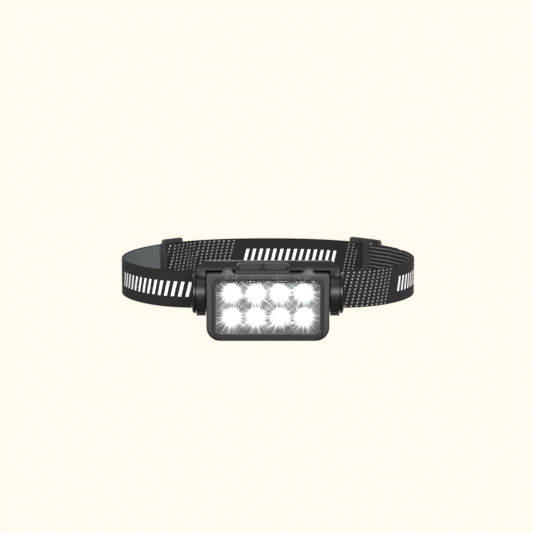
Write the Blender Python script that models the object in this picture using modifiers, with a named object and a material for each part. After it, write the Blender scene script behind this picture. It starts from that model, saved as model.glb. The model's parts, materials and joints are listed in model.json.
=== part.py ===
"""Headlamp: a lamp head with eight LEDs that tilts in a yoke on an adjustable head strap.

Frame: metres, +Z up, the lamp shines along -Y. The origin is the middle of the
forehead pad's rear face, and the wearer's head lies towards +Y inside the strap loop.
"""

import math

import bmesh
import bpy
from mathutils import Matrix, Vector

MM = 0.001

# Driving dimensions, in metres and degrees.
GAP = 0.3 * MM  # between pieces that touch
SWING_GAP = 0.6 * MM  # between the barrel and the yoke's back plate
OVERLAP = 0.2 * MM  # solids that are joined reach this far into each other

# Head strap: an elastic webbing loop, seen from above a flat front run and arcs on each side.
# Each arc is its radius and its angle in degrees, from the front, and a last arc closes the back.
STRAP_WIDTH = 25 * MM
STRAP_THICK = 1.5 * MM
LOOP_ARCS = ((45 * MM, 45), (77 * MM, 46), (91.5 * MM, 80))
STRAP_STEP = 5 * MM

# What the strap is held between.
KEEPER_WIDTH, KEEPER_THICK = 88 * MM, 1.5 * MM
KEEPER_END = 2.5 * MM  # the strap runs straight this far past the keeper
PAD_INSET, PAD_HEIGHT, PAD_THICK = 2 * MM, 29 * MM, 4 * MM
PAD_CORNER = 7 * MM
PLATE_THICK = 2.5 * MM
RIB_HEIGHT, LOW_RIB_HEIGHT = 2.6 * MM, 1.9 * MM
KEEPER_SCREW_X = 25 * MM

# Lamp head.
BEZEL_WIDTH, BEZEL_HEIGHT, BEZEL_DEPTH = 80.3 * MM, 44.5 * MM, 6 * MM
BEZEL_TOP = 15.25 * MM
BEZEL_CORNER_TOP, BEZEL_CORNER_LOW = 2 * MM, 9 * MM
NOSE = 16 * MM  # from the tilt axis to the bezel's front face
BEZEL_SIDE, BEZEL_OVER, BEZEL_UNDER = 4.35 * MM, 4.3 * MM, 2.6 * MM  # bezel round the window
WINDOW_CORNER = 5.5 * MM
LENS_THICK, LENS_RECESS = 1.5 * MM, 0.5 * MM
GASKET_THICK, GASKET_LIP = 0.8 * MM, 1.6 * MM
REFLECTOR_THICK = 4 * MM
CUP_FRONT_RADIUS, CUP_REAR_RADIUS = 7.3 * MM, 4 * MM
LED_COLUMNS, LED_ROWS = 4, 2
LED_PITCH = 15.8 * MM
LED_RISE = 1.55 * MM  # the LEDs' middle lies over the window's
LED_SIZE, LED_THICK, LED_EDGE = 5 * MM, 1.2 * MM, 0.2 * MM
LED_BOARD_THICK = 1.2 * MM
CONTROL_BOARD_WIDTH, CONTROL_BOARD_THICK = 34 * MM, 0.8 * MM
HOUSING_INSET = 1 * MM  # the housing's outline lies inside the bezel's
HOUSING_TOP_DROP = 2.1 * MM
HOUSING_WALL, HOUSING_CORNER = 1.5 * MM, 1.5 * MM
BARREL_END_WALL = 3 * MM
SLAB_REAR = 2 * MM  # the housing's flat rear face lies in front of the tilt axis
BARREL_RADIUS = 12 * MM
CELL_END_ROOM, CELL_EDGE = 6 * MM, 0.8 * MM
CELL_HIGH, CELL_BACK = 1.52, 0.5  # the cell's height and reach behind the axis, in cavity radii
RIB_OFFSET, RIB_BASE, RIB_TIP, RIB_RISE = 26.2 * MM, 9 * MM, 4.3 * MM, 3.2 * MM

# Buttons, in a pod on top of the lamp head whose face slopes up to the rear.
POD_CENTRE_X = -3.3 * MM
POD_EDGE = 1.7 * MM  # pod outside the outer buttons
POD_WALL = 1.5 * MM
POD_SLOPE = math.radians(24)
POD_RIM = 1 * MM  # sloping face above and below the buttons
POD_LIP, POD_SET_BACK = 1.65 * MM, 0.4 * MM
POD_CORNER = 3.4 * MM  # seen from the front
POD_REAR_EDGE = 1.2 * MM
BUTTON_WIDTH, BUTTON_LENGTH, BUTTON_CORNER = 15 * MM, 7.4 * MM, 2 * MM
BUTTON_SPACE = 1.6 * MM
BUTTON_PROUD, BUTTON_SUNK = 0.6 * MM, 0.6 * MM
BUTTON_TRAVEL, PRESS_SPARE = 0.5 * MM, 0.1 * MM
STEM_RADIUS, STEM_LENGTH = 1.3 * MM, 1.6 * MM
STEM_SHIFT = 2.2 * MM  # up the slope from the button's middle
SWITCH_SIZE, SWITCH_THICK = 3.6 * MM, 1.5 * MM
SWITCH_BOARD_LENGTH, BOARD_CLEAR = 4.6 * MM, 0.7 * MM

# Charging port and its cover, under the lamp head.
PORT_WIDTH, PORT_THICK, PORT_LENGTH, PORT_WALL = 9 * MM, 3.2 * MM, 7.3 * MM, 0.4 * MM
PORT_ROUND = 0.1 * MM  # the port's ends are this much short of half-round
COVER_SET_BACK = 0.6 * MM
COVER_WIDTH, COVER_LENGTH, COVER_THICK, COVER_CORNER = 13 * MM, 5.6 * MM, 0.9 * MM, 1 * MM

# Yoke and tilt hinges.
ARM_THICK, ARM_CLEAR = 6 * MM, 0.85 * MM
KNUCKLE_RADIUS = 11.4 * MM
HOOD_OVER, HOOD_RISE = 1.6 * MM, 2.8 * MM  # the hood's front edge over the keeper, and its rise to the rear
YOKE_LIP = 1.7 * MM
YOKE_TOP_REAR_WIDTH = 84 * MM
PLATE_SHORT = 1.4 * MM  # the back plate ends this far over the arms' low end
YOKE_NOSE = 1 * MM  # the hood's lip lies in front of the axis
MITRE_DROP = 6 * MM  # the hood's mitred corners slope down to the rear by this much
KNUCKLE_STEPS = 14
PIVOT_RADIUS = 6 * MM
DISC_RADIUS, DISC_THICK, DISC_TEETH, TOOTH = 9.4 * MM, 1.2 * MM, 24, 0.7 * MM
CAP_RADIUS, CAP_THICK = 13.1 * MM, 2.6 * MM
CAP_DISH, CAP_ROOM = 0.5 * MM, 1.2 * MM  # dish in the cap's face, room round the screw's head
SCREW_BITE = 2.6 * MM  # into the housing
SCREW_HEAD_RADIUS, SCREW_HEAD_THICK, SCREW_SHANK_RADIUS = 2 * MM, 1.2 * MM, 1 * MM

# Sliders.
SLIDER_RAIL, SLIDER_ROOM = 3.3 * MM, 0.4 * MM  # rail outside the strap, and the space to it
BAR_THICK = 2 * MM
FOLD_BITE = 0.6 * MM  # a fold's centre lies this far inside its bar's edge
RIGHT_SLIDER_LENGTH, RIGHT_CENTRE_BAR, RIGHT_SLOT = 30.5 * MM, 6.4 * MM, 3.2 * MM
LEFT_SLIDER_LENGTH, LEFT_CENTRE_BAR, LEFT_SLOT = 20 * MM, 3.4 * MM, 5.3 * MM
RIGHT_SLIDER_ARC = 45  # degrees along the third arc to each slider's middle
LEFT_SLIDER_ARC = 45.5
SLIDER_TRAVEL = 8  # degrees that the left slider moves along its arc
RIGHT_TAIL, LEFT_TAIL = 24 * MM, 13 * MM  # the sewn-down ends beyond each slider
LEFT_CLEAR = 2 * MM  # the inner layer ends this far short of the left slider's travel
RAMP = 12 * MM  # the strap takes this long to ease from one layer's depth to the next

# Sizes and places that follow from the ones above.
LOOP_FLAT = KEEPER_WIDTH / 2 + KEEPER_END
PAD_WIDTH = KEEPER_WIDTH - 2 * PAD_INSET
WINDOW_WIDTH = BEZEL_WIDTH - 2 * BEZEL_SIDE
WINDOW_HEIGHT = BEZEL_HEIGHT - BEZEL_OVER - BEZEL_UNDER
POD_WIDTH = 2 * (BUTTON_WIDTH + POD_EDGE) + BUTTON_SPACE
POD_FACE = BUTTON_LENGTH + 2 * POD_RIM
SWITCH_BOARD_WIDTH = POD_WIDTH - 2 * (POD_WALL + GAP + BOARD_CLEAR)
SLIDER_WINDOW = STRAP_WIDTH + 2 * SLIDER_ROOM
SLIDER_HEIGHT = SLIDER_WINDOW + 2 * SLIDER_RAIL
PAD_FRONT = -PAD_THICK
KEEPER_REAR = PAD_FRONT - GAP
KEEPER_FRONT = KEEPER_REAR - KEEPER_THICK
STRAP_Y = KEEPER_FRONT - GAP - STRAP_THICK / 2
PLATE_REAR = STRAP_Y - STRAP_THICK / 2 - GAP
PLATE_FRONT = PLATE_REAR - PLATE_THICK
AXIS_Y = PLATE_FRONT - SWING_GAP - BARREL_RADIUS
BEZEL_FRONT = AXIS_Y - NOSE
BEZEL_REAR = BEZEL_FRONT + BEZEL_DEPTH
BEZEL_Z = BEZEL_TOP - BEZEL_HEIGHT / 2
BEZEL_LOW = BEZEL_TOP - BEZEL_HEIGHT
WINDOW_Z = BEZEL_LOW + BEZEL_UNDER + WINDOW_HEIGHT / 2
LENS_FRONT = BEZEL_FRONT + LENS_RECESS
GASKET_FRONT = LENS_FRONT + LENS_THICK + GAP
REFLECTOR_FRONT = GASKET_FRONT + GASKET_THICK + GAP
REFLECTOR_REAR = REFLECTOR_FRONT + REFLECTOR_THICK
LED_BOARD_FRONT = REFLECTOR_REAR + GAP
LED_BOARD_REAR = LED_BOARD_FRONT + LED_BOARD_THICK
PORT_FRONT = LED_BOARD_REAR + GAP
CONTROL_BOARD_FRONT = PORT_FRONT + (PORT_THICK - CONTROL_BOARD_THICK) / 2
SLAB_BACK = AXIS_Y - SLAB_REAR
HOUSING_FRONT = BEZEL_REAR + GAP
HOUSING_WIDTH = BEZEL_WIDTH - 2 * HOUSING_INSET
HOUSING_TOP = BEZEL_TOP - HOUSING_TOP_DROP
HOUSING_LOW = BEZEL_LOW + HOUSING_INSET
HOUSING_Z = (HOUSING_TOP + HOUSING_LOW) / 2
HOUSING_HEIGHT = HOUSING_TOP - HOUSING_LOW
ARM_INNER = BEZEL_WIDTH / 2 + ARM_CLEAR
ARM_OUTER = ARM_INNER + ARM_THICK
YOKE_FRONT = AXIS_Y - YOKE_NOSE
HOUSING_END = HOUSING_WIDTH / 2
CELL_FRONT = CONTROL_BOARD_FRONT + CONTROL_BOARD_THICK + GAP
CELL_REAR = AXIS_Y + CELL_BACK * (BARREL_RADIUS - HOUSING_WALL)
CELL_WIDTH = HOUSING_WIDTH - 2 * (BARREL_END_WALL + CELL_END_ROOM)
CELL_HEIGHT = CELL_HIGH * (BARREL_RADIUS - HOUSING_WALL)
PORT_LOW = HOUSING_LOW + COVER_THICK + GAP
PORT_Y = PORT_FRONT + PORT_THICK / 2
COVER_Y = HOUSING_FRONT + COVER_SET_BACK + COVER_LENGTH / 2
INSET_WIDTH = WINDOW_WIDTH - 2 * GAP
INSET_HEIGHT = WINDOW_HEIGHT - 2 * GAP
INSET_CORNER = WINDOW_CORNER - GAP
RIB_Z = STRAP_WIDTH / 2 + GAP
KEEPER_LOW, KEEPER_HIGH = -RIB_Z - LOW_RIB_HEIGHT, RIB_Z + RIB_HEIGHT
KEEPER_SCREW_Z = RIB_Z + RIB_HEIGHT / 2
YOKE_TOP_FRONT = KEEPER_HIGH + HOOD_OVER
YOKE_TOP_REAR = YOKE_TOP_FRONT + HOOD_RISE
YOKE_LOW = -KEEPER_LOW
PLATE_LOW = YOKE_LOW - PLATE_SHORT
FACE_TILT = Matrix.Rotation(POD_SLOPE, 4, "X")
POD_FACE_START = Vector((POD_CENTRE_X, BEZEL_FRONT + POD_SET_BACK, BEZEL_TOP + GAP + POD_LIP))
POD_FACE_MIDDLE = POD_FACE_START + FACE_TILT @ Vector((0, POD_FACE / 2, 0))
BUTTON_X = (BUTTON_WIDTH + BUTTON_SPACE) / 2
FOLD_RADIUS = BAR_THICK / 2 + GAP + STRAP_THICK / 2
LAYER = STRAP_THICK + GAP  # from one layer of webbing to the next


def srgb(code):
    """Linear colour of a six-digit sRGB hex code."""
    parts = [int(code[i : i + 2], 16) / 255 for i in (0, 2, 4)]
    return [c / 12.92 if c <= 0.04045 else ((c + 0.055) / 1.055) ** 2.4 for c in parts]


def material(name, code, roughness, metallic=0.0):
    made = bpy.data.materials.new(name)
    made.use_nodes = True
    shader = made.node_tree.nodes["Principled BSDF"]
    shader.inputs["Base Color"].default_value = (*srgb(code), 1)
    shader.inputs["Roughness"].default_value = roughness
    shader.inputs["Metallic"].default_value = metallic
    made.diffuse_color = (*srgb(code), 1)
    return made


for leftover in list(bpy.data.objects):
    bpy.data.objects.remove(leftover, do_unlink=True)

parts = bpy.data.collections.new("headlamp")
cutters = bpy.data.collections.new("cutters")
bpy.context.scene.collection.children.link(parts)
bpy.context.scene.collection.children.link(cutters)


def linked(name, data, location=(0, 0, 0), rotation=(0, 0, 0)):
    made = bpy.data.objects.new(name, data)
    made.location = location
    made.rotation_euler = rotation
    parts.objects.link(made)
    return made


def from_bmesh(name, bm, location=(0, 0, 0), rotation=(0, 0, 0)):
    mesh = bpy.data.meshes.new(name)
    bm.to_mesh(mesh)
    bm.free()
    return linked(name, mesh, location, rotation)


def box(name, size, centre, rotation=(0, 0, 0), bevel=0.0):
    bm = bmesh.new()
    bmesh.ops.create_cube(bm, size=1)
    bmesh.ops.scale(bm, vec=size, verts=bm.verts)
    made = from_bmesh(name, bm, centre, rotation)
    if bevel:
        rounding = made.modifiers.new("rounded edges", "BEVEL")
        rounding.width = bevel
        rounding.segments = 2
    return made


def rod(name, radius, length, centre, rotation=(0, math.pi / 2, 0), tip=None, segments=32):
    """A cylinder or cone along local Z, which the usual rotation lays along X."""
    bm = bmesh.new()
    bmesh.ops.create_cone(
        bm,
        cap_ends=True,
        segments=segments,
        radius1=radius,
        radius2=radius if tip is None else tip,
        depth=length,
    )
    made = from_bmesh(name, bm, centre, rotation)
    made.data.shade_smooth()
    made.data.set_sharp_from_angle(angle=math.radians(40))
    return made


def as_mesh(curve_object):
    """The same shape as a mesh with its caps welded on, which a Boolean can use."""
    bpy.context.view_layer.update()
    evaluated = curve_object.evaluated_get(bpy.context.evaluated_depsgraph_get())
    mesh = bpy.data.meshes.new_from_object(evaluated)
    bm = bmesh.new()
    bm.from_mesh(mesh)
    bmesh.ops.remove_doubles(bm, verts=bm.verts, dist=0.00001)
    bmesh.ops.recalc_face_normals(bm, faces=bm.faces)
    bm.to_mesh(mesh)
    bm.free()
    name = curve_object.name
    matrix = curve_object.matrix_world.copy()
    bpy.data.objects.remove(curve_object, do_unlink=True)
    made = linked(name, mesh)
    made.matrix_world = matrix
    return made


def slab(name, outline, thickness, centre, rotation):
    """A flat outline with a thickness, centred on its own plane."""
    curve = bpy.data.curves.new(name, "CURVE")
    curve.dimensions = "2D"
    curve.fill_mode = "BOTH"
    curve.extrude = thickness / 2
    spline = curve.splines.new("POLY")
    spline.points.add(len(outline) - 1)
    for point, (x, y) in zip(spline.points, outline):
        point.co = (x, y, 0, 1)
    spline.use_cyclic_u = True
    return as_mesh(linked(name, curve, centre, rotation))


UPRIGHT = (math.pi / 2, 0, 0)  # outline in X and Z, thickness along Y
SIDEWAYS = (math.pi / 2, 0, math.pi / 2)  # outline in Y and Z, thickness along X


def rounded(width, height, low, high=None, steps=5):
    """A rectangle about its middle, with one radius for the low corners and one for the high."""
    high = low if high is None else high
    corners = ((1, -1, low, -90), (1, 1, high, 0), (-1, 1, high, 90), (-1, -1, low, 180))
    points = []
    for sx, sy, radius, start in corners:
        cx, cy = sx * (width / 2 - radius), sy * (height / 2 - radius)
        for i in range(steps + 1):
            angle = math.radians(start + 90 * i / steps)
            points.append((cx + radius * math.cos(angle), cy + radius * math.sin(angle)))
    return points


def plate(name, outline, front, thickness, x=0.0, z=0.0):
    """An upright slab whose front face is at Y = front."""
    return slab(name, outline, thickness, (x, front + thickness / 2, z), UPRIGHT)


def boolean(target, tool, operation):
    step = target.modifiers.new(f"{operation.lower()} {tool.name}", "BOOLEAN")
    step.operation = operation
    step.solver = "EXACT"
    step.object = tool
    parts.objects.unlink(tool)
    cutters.objects.link(tool)
    tool.hide_render = True
    tool.display_type = "WIRE"


def cut(target, *tools):
    for tool in tools:
        boolean(target, tool, "DIFFERENCE")


def join(target, *tools):
    for tool in tools:
        boolean(target, tool, "UNION")


def turned(name, profile, centre, rotation, steps=40):
    """A profile of (radius, height) points, top to bottom, turned about its axis."""
    bm = bmesh.new()
    verts = [bm.verts.new((radius, 0, height)) for radius, height in profile]
    for a, b in zip(verts, verts[1:]):
        bm.edges.new((a, b))
    made = from_bmesh(name, bm, centre, rotation)
    screw = made.modifiers.new("turned", "SCREW")
    screw.steps = screw.render_steps = steps
    screw.use_merge_vertices = True
    screw.merge_threshold = 0.00001
    screw.use_smooth_shade = True
    return made


def empty(name, location, rotation=(0, 0, 0)):
    return linked(name, None, location, rotation)


def carry(carrier, *pieces):
    """Parents the pieces to a joint's empty and leaves them where they are."""
    bpy.context.view_layer.update()
    for piece in pieces:
        piece.parent = carrier
        piece.matrix_parent_inverse = carrier.matrix_world.inverted()


def finish(piece, finish_material):
    piece.data.materials.clear()
    piece.data.materials.append(finish_material)
    return piece


housing_plastic = material("moulded black plastic", "2E2F31", 0.45)
bezel_plastic = material("satin grey bezel plastic", "565758", 0.4)
yoke_plastic = material("satin black yoke plastic", "2A2B2D", 0.38)
button_rubber = material("grey button rubber", "474747", 0.7)
black_rubber = material("black silicone rubber", "1B1B1C", 0.75)
clear_plastic = material("clear lens plastic", "DDE2E6", 0.08)
chrome_film = material("metallised reflector", "C9CBCE", 0.15, 1)
board_white = material("white solder mask", "E8E8E4", 0.5)
board_green = material("green solder mask", "1E5A38", 0.45)
led_white = material("led package", "F6F4E4", 0.4)
steel = material("zinc plated steel", "A9ACB0", 0.3, 1)
cell_wrap = material("silver cell pouch", "B7BABD", 0.35, 0.8)
webbing = material("black elastic webbing", "2C2C2D", 0.85)
foam = material("dark grey foam", "303133", 0.95)
slider_plastic = material("black slider plastic", "232325", 0.4)

# ---------------------------------------------------------------- the strap loop


def loop_side(distance):
    """Point and heading on the right half, at a distance round from the middle of the front."""
    x, y, heading = LOOP_FLAT, STRAP_Y, 0.0
    if distance <= LOOP_FLAT:
        return distance, y, heading
    left = distance - LOOP_FLAT
    for radius, degrees in (*LOOP_ARCS, (None, 90)):
        if radius is None:
            radius = x / math.sin(heading)
        turn = min(left / radius, math.radians(degrees))
        cx, cy = x - radius * math.sin(heading), y + radius * math.cos(heading)
        heading += turn
        x, y = cx + radius * math.sin(heading), cy - radius * math.cos(heading)
        left -= turn * radius
        if left < 1e-9:
            break
    return x, y, heading


def arc_start(index):
    return LOOP_FLAT + sum(r * math.radians(d) for r, d in LOOP_ARCS[:index])


def half_loop():
    x, _, heading = loop_side(arc_start(3))
    return arc_start(3) + (math.pi - heading) * x / math.sin(heading)


HALF_LOOP = half_loop()


def loop_point(along, depth):
    """A point on the loop, measured round from the front's middle, depth towards the head."""
    if along <= HALF_LOOP:
        x, y, heading = loop_side(along)
        return x - depth * math.sin(heading), y + depth * math.cos(heading)
    x, y, heading = loop_side(2 * HALF_LOOP - along)
    return -x + depth * math.sin(heading), y + depth * math.cos(heading)


def arc_centre(index, side):
    """Centre of one of the loop's arcs, on the right (1) or the left (-1)."""
    x, y, heading = loop_side(arc_start(index))
    radius = LOOP_ARCS[index][0]
    return Vector((side * (x - radius * math.sin(heading)), y + radius * math.cos(heading), 0))


def ribbon(name, route, width, thickness):
    """An upright band of the given width and thickness along (along, depth) points."""
    curve = bpy.data.curves.new(name, "CURVE")
    curve.dimensions = "2D"
    curve.fill_mode = "NONE"
    curve.extrude = width / 2
    spline = curve.splines.new("POLY")
    spline.points.add(len(route) - 1)
    for point, (along, depth) in zip(spline.points, route):
        point.co = (*loop_point(along, depth), 0, 1)
    made = as_mesh(linked(name, curve))
    wall = made.modifiers.new("thickness", "SOLIDIFY")
    wall.thickness = thickness
    wall.offset = 0
    wall.use_even_offset = True
    return made


def steps_between(start, stop, step=STRAP_STEP):
    count = max(2, math.ceil(abs(stop - start) / step))
    return [start + (stop - start) * i / count for i in range(count + 1)]


def eased(value, start, stop):
    """0 at start, 1 at stop, with soft ends."""
    t = min(1.0, max(0.0, (value - start) / (stop - start)))
    return t * t * (3 - 2 * t)


def fold(bar, bar_width, depth, towards, steps=6):
    """The turn of webbing round a bar: (along, depth) points from its outer side to its inner."""
    centre = bar + towards * (bar_width / 2 - FOLD_BITE)
    points = []
    for i in range(steps + 1):
        angle = math.pi * i / steps
        reach = FOLD_RADIUS * math.sin(angle)
        points.append((centre + towards * reach, depth - FOLD_RADIUS * math.cos(angle)))
    return points


RIGHT_SLIDER = arc_start(2) + LOOP_ARCS[2][0] * math.radians(RIGHT_SLIDER_ARC)
LEFT_SLIDER = 2 * HALF_LOOP - (arc_start(2) + LOOP_ARCS[2][0] * math.radians(LEFT_SLIDER_ARC))
RIGHT_DEPTH = FOLD_RADIUS
LEFT_DEPTH = LAYER + FOLD_RADIUS
RIGHT_END_BAR = (RIGHT_SLIDER_LENGTH - RIGHT_CENTRE_BAR) / 2 - RIGHT_SLOT
FRONT_BAR = RIGHT_SLIDER - (RIGHT_SLIDER_LENGTH - RIGHT_END_BAR) / 2
REAR_BAR = RIGHT_SLIDER + (RIGHT_SLIDER_LENGTH - RIGHT_END_BAR) / 2
TRAVEL = math.radians(SLIDER_TRAVEL) * LOOP_ARCS[2][0]


def slider(name, middle, length, centre_bar, slot, depth):
    """A curved frame with a bar at each end and one in the middle, and a slot between them."""
    start, stop = middle - length / 2, middle + length / 2
    frame = ribbon(name, [(a, depth) for a in steps_between(start, stop, STRAP_STEP / 2)],
                   SLIDER_HEIGHT, BAR_THICK)
    for side in (-1, 1):
        at = middle + side * (centre_bar + slot) / 2
        x, y = loop_point(at, depth)
        x2, y2 = loop_point(at + slot / 2, depth)
        turn = math.atan2(y2 - y, x2 - x)
        cut(frame, box(f"{name} slot {side}", (slot, 4 * BAR_THICK, SLIDER_WINDOW),
                       (x, y, 0), (0, 0, turn)))
    return finish(frame, slider_plastic)


def front_strap():
    """From the fold on the right slider's front bar, round the front, to the left slider."""
    tail = FRONT_BAR - RIGHT_TAIL
    route = [(a, 0) for a in steps_between(tail, FRONT_BAR)]
    route += fold(FRONT_BAR, RIGHT_END_BAR, RIGHT_DEPTH, 1)
    over_bar = 2 * FOLD_RADIUS
    bar_edge = FRONT_BAR - RIGHT_END_BAR / 2
    for a in steps_between(FRONT_BAR, bar_edge)[:-1]:
        route.append((a, over_bar))
    for a in steps_between(bar_edge, tail - RAMP):
        rise = eased(a, bar_edge - RAMP, bar_edge)
        join_up = eased(a, tail - RAMP, tail - STRAP_THICK)
        route.append((a, LAYER * join_up + (over_bar - LAYER) * rise))
    front = [(a, 0) for a in steps_between(tail - RAMP, 0)[1:]]
    left = [(2 * HALF_LOOP - a, 0) for a in steps_between(0, 2 * HALF_LOOP - LEFT_SLIDER)[1:]]
    return finish(ribbon("strap_front", route + front + left, STRAP_WIDTH, STRAP_THICK), webbing)


def rear_strap():
    """Outer layer from the left slider to the right one, the fold there, and the inner layer."""
    outer = [(a, 0) for a in steps_between(LEFT_SLIDER - GAP, REAR_BAR)]
    turn = fold(REAR_BAR, RIGHT_END_BAR, RIGHT_DEPTH, -1)
    inner_end = LEFT_SLIDER - LEFT_SLIDER_LENGTH / 2 - TRAVEL - LEFT_CLEAR
    bar_edge = REAR_BAR + RIGHT_END_BAR / 2
    inner = [(a, 2 * FOLD_RADIUS) for a in steps_between(REAR_BAR, bar_edge)[:-1]]
    for a in steps_between(bar_edge, inner_end):
        rise = 1 - eased(a, bar_edge, bar_edge + RAMP)
        inner.append((a, LAYER + (2 * FOLD_RADIUS - LAYER) * rise))
    return finish(ribbon("strap_rear", outer + turn + inner, STRAP_WIDTH, STRAP_THICK), webbing)


def sewn_end():
    """The strap's end, sewn round the left slider's middle bar, which travels with it."""
    turn = fold(LEFT_SLIDER, LEFT_CENTRE_BAR, LEFT_DEPTH, 1)
    far = LEFT_SLIDER - LEFT_SLIDER_LENGTH / 2
    bar_edge = LEFT_SLIDER - LEFT_CENTRE_BAR / 2
    route = [(bar_edge, LAYER)] + turn
    over = LEFT_DEPTH + FOLD_RADIUS
    for a in steps_between(bar_edge, far - LEFT_TAIL, STRAP_STEP / 2):
        drop = 1 - eased(a, far - RAMP, far)
        route.append((a, over - (over - 2 * LAYER) * drop))
    return finish(ribbon("strap_sewn_end", route, STRAP_WIDTH, STRAP_THICK), webbing)


front_strap()
rear_strap()
slider("slider_right", RIGHT_SLIDER, RIGHT_SLIDER_LENGTH, RIGHT_CENTRE_BAR, RIGHT_SLOT, RIGHT_DEPTH)
slider_axis = empty("slider_left_axis", arc_centre(2, -1))
carry(slider_axis, sewn_end(),
      slider("slider_left", LEFT_SLIDER, LEFT_SLIDER_LENGTH, LEFT_CENTRE_BAR, LEFT_SLOT, LEFT_DEPTH))

# ---------------------------------------------------------------- yoke, keeper and pad


def screw(name, centre, rotation, length):
    """A pan-head screw along local +Z, its head's underside at the centre."""
    head, shank = SCREW_HEAD_RADIUS, SCREW_SHANK_RADIUS
    profile = [
        (0, SCREW_HEAD_THICK),
        (head * 0.8, SCREW_HEAD_THICK),
        (head, SCREW_HEAD_THICK * 0.6),
        (head, 0),
        (shank, 0),
        (shank, -length),
        (0, -length),
    ]
    return finish(turned(name, profile, centre, rotation, 20), steel)


FROM_REAR = (-math.pi / 2, 0, 0)  # a screw's head towards +Y
FROM_RIGHT = (0, math.pi / 2, 0)
FROM_LEFT = (0, -math.pi / 2, 0)


def yoke_outline():
    """Side view in Y and Z: a block behind the axis, sloping up to the rear, and a round knuckle."""
    points = [(PLATE_REAR, -YOKE_LOW), (PLATE_REAR, YOKE_TOP_REAR), (YOKE_FRONT, YOKE_TOP_FRONT)]
    start = math.asin(YOKE_NOSE / KNUCKLE_RADIUS)
    for i in range(KNUCKLE_STEPS + 1):
        angle = math.pi / 2 + start + (math.pi - 2 * start) * i / KNUCKLE_STEPS
        y = AXIS_Y + KNUCKLE_RADIUS * math.cos(angle)
        points.append((y, KNUCKLE_RADIUS * math.sin(angle)))
    points.append((YOKE_FRONT, -YOKE_LOW))
    return points


def mitre(side):
    """A block that slices an upper rear corner off, from the lip's end to the hood's rear edge."""
    front = Vector((side * ARM_OUTER, YOKE_FRONT, YOKE_TOP_FRONT))
    rear = Vector((side * YOKE_TOP_REAR_WIDTH / 2, PLATE_REAR, YOKE_TOP_REAR))
    low = Vector((side * ARM_OUTER, PLATE_REAR, YOKE_TOP_REAR - MITRE_DROP))
    normal = (low - front).cross(rear - front) * side
    size = 4 * ARM_THICK
    block = box(f"mitre {side}", (size, 2 * size, size), (0, 0, 0))
    block.rotation_euler = normal.to_track_quat("Z", "Y").to_euler()
    block.location = (front + rear) / 2 + normal.normalized() * size / 2
    return block


def yoke():
    """Back plate, hood and two arms, as one block with room for the lamp head to swing in."""
    frame = slab("yoke", yoke_outline(), 2 * ARM_OUTER, (0, 0, 0), SIDEWAYS)
    room_top = YOKE_TOP_FRONT - YOKE_LIP
    big = BEZEL_WIDTH
    swing_room = box("swing room", (2 * ARM_INNER, big, big), (0, PLATE_FRONT - big / 2, room_top - big / 2))
    low_room = box("low room", (2 * ARM_INNER, big, big), (0, PLATE_FRONT, -PLATE_LOW - big / 2))
    cut(frame, swing_room, low_room, mitre(-1), mitre(1))
    for side in (-1, 1):
        bore = rod(f"arm bore {side}", PIVOT_RADIUS + GAP, 4 * ARM_THICK,
                   (side * (ARM_INNER + ARM_OUTER) / 2, AXIS_Y, 0), segments=48)
        hole = rod(f"keeper screw hole {side}", SCREW_SHANK_RADIUS + GAP, 4 * PLATE_THICK,
                   (side * KEEPER_SCREW_X, PLATE_REAR, KEEPER_SCREW_Z), UPRIGHT)
        cut(frame, bore, hole)
    return finish(frame, yoke_plastic)


def strap_keeper():
    """A plate behind the strap with a rib over and under it, screwed to the yoke's back."""
    height = KEEPER_HIGH - KEEPER_LOW
    plate_piece = box("strap_keeper", (KEEPER_WIDTH, KEEPER_THICK, height),
                      (0, (KEEPER_FRONT + KEEPER_REAR) / 2, (KEEPER_HIGH + KEEPER_LOW) / 2))
    depth = KEEPER_REAR - (PLATE_REAR + GAP)
    for name, low, high in (("top", RIB_Z, KEEPER_HIGH), ("low", KEEPER_LOW, -RIB_Z)):
        join(plate_piece, box(f"keeper {name} rib", (KEEPER_WIDTH, depth, high - low),
                              (0, KEEPER_REAR - depth / 2, (high + low) / 2)))
    for side in (-1, 1):
        at = (side * KEEPER_SCREW_X, KEEPER_REAR, KEEPER_SCREW_Z)
        cut(plate_piece, rod(f"keeper hole {side}", SCREW_SHANK_RADIUS + GAP, 4 * depth, at, UPRIGHT))
    return finish(plate_piece, yoke_plastic)


def keeper_screws():
    reach = KEEPER_REAR + GAP - PLATE_FRONT - 2 * GAP
    for side, name in ((-1, "left"), (1, "right")):
        at = (side * KEEPER_SCREW_X, KEEPER_REAR + GAP, KEEPER_SCREW_Z)
        screw(f"keeper_screw_{name}", at, FROM_REAR, reach)


def forehead_pad():
    pad = plate("forehead_pad", rounded(PAD_WIDTH, PAD_HEIGHT, PAD_CORNER), PAD_FRONT, PAD_THICK)
    for side in (-1, 1):
        at = (side * KEEPER_SCREW_X, PAD_FRONT, KEEPER_SCREW_Z)
        cut(pad, rod(f"pad relief {side}", SCREW_HEAD_RADIUS + GAP, 3 * SCREW_HEAD_THICK, at, UPRIGHT))
    return finish(pad, foam)


yoke()
strap_keeper()
keeper_screws()
forehead_pad()

# ---------------------------------------------------------------- lamp head

tilt_axis = empty("lamp_tilt_axis", (0, AXIS_Y, 0))


def inset_plate(name, front, thickness):
    return plate(name, rounded(INSET_WIDTH, INSET_HEIGHT, INSET_CORNER), front, thickness, 0, WINDOW_Z)


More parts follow.
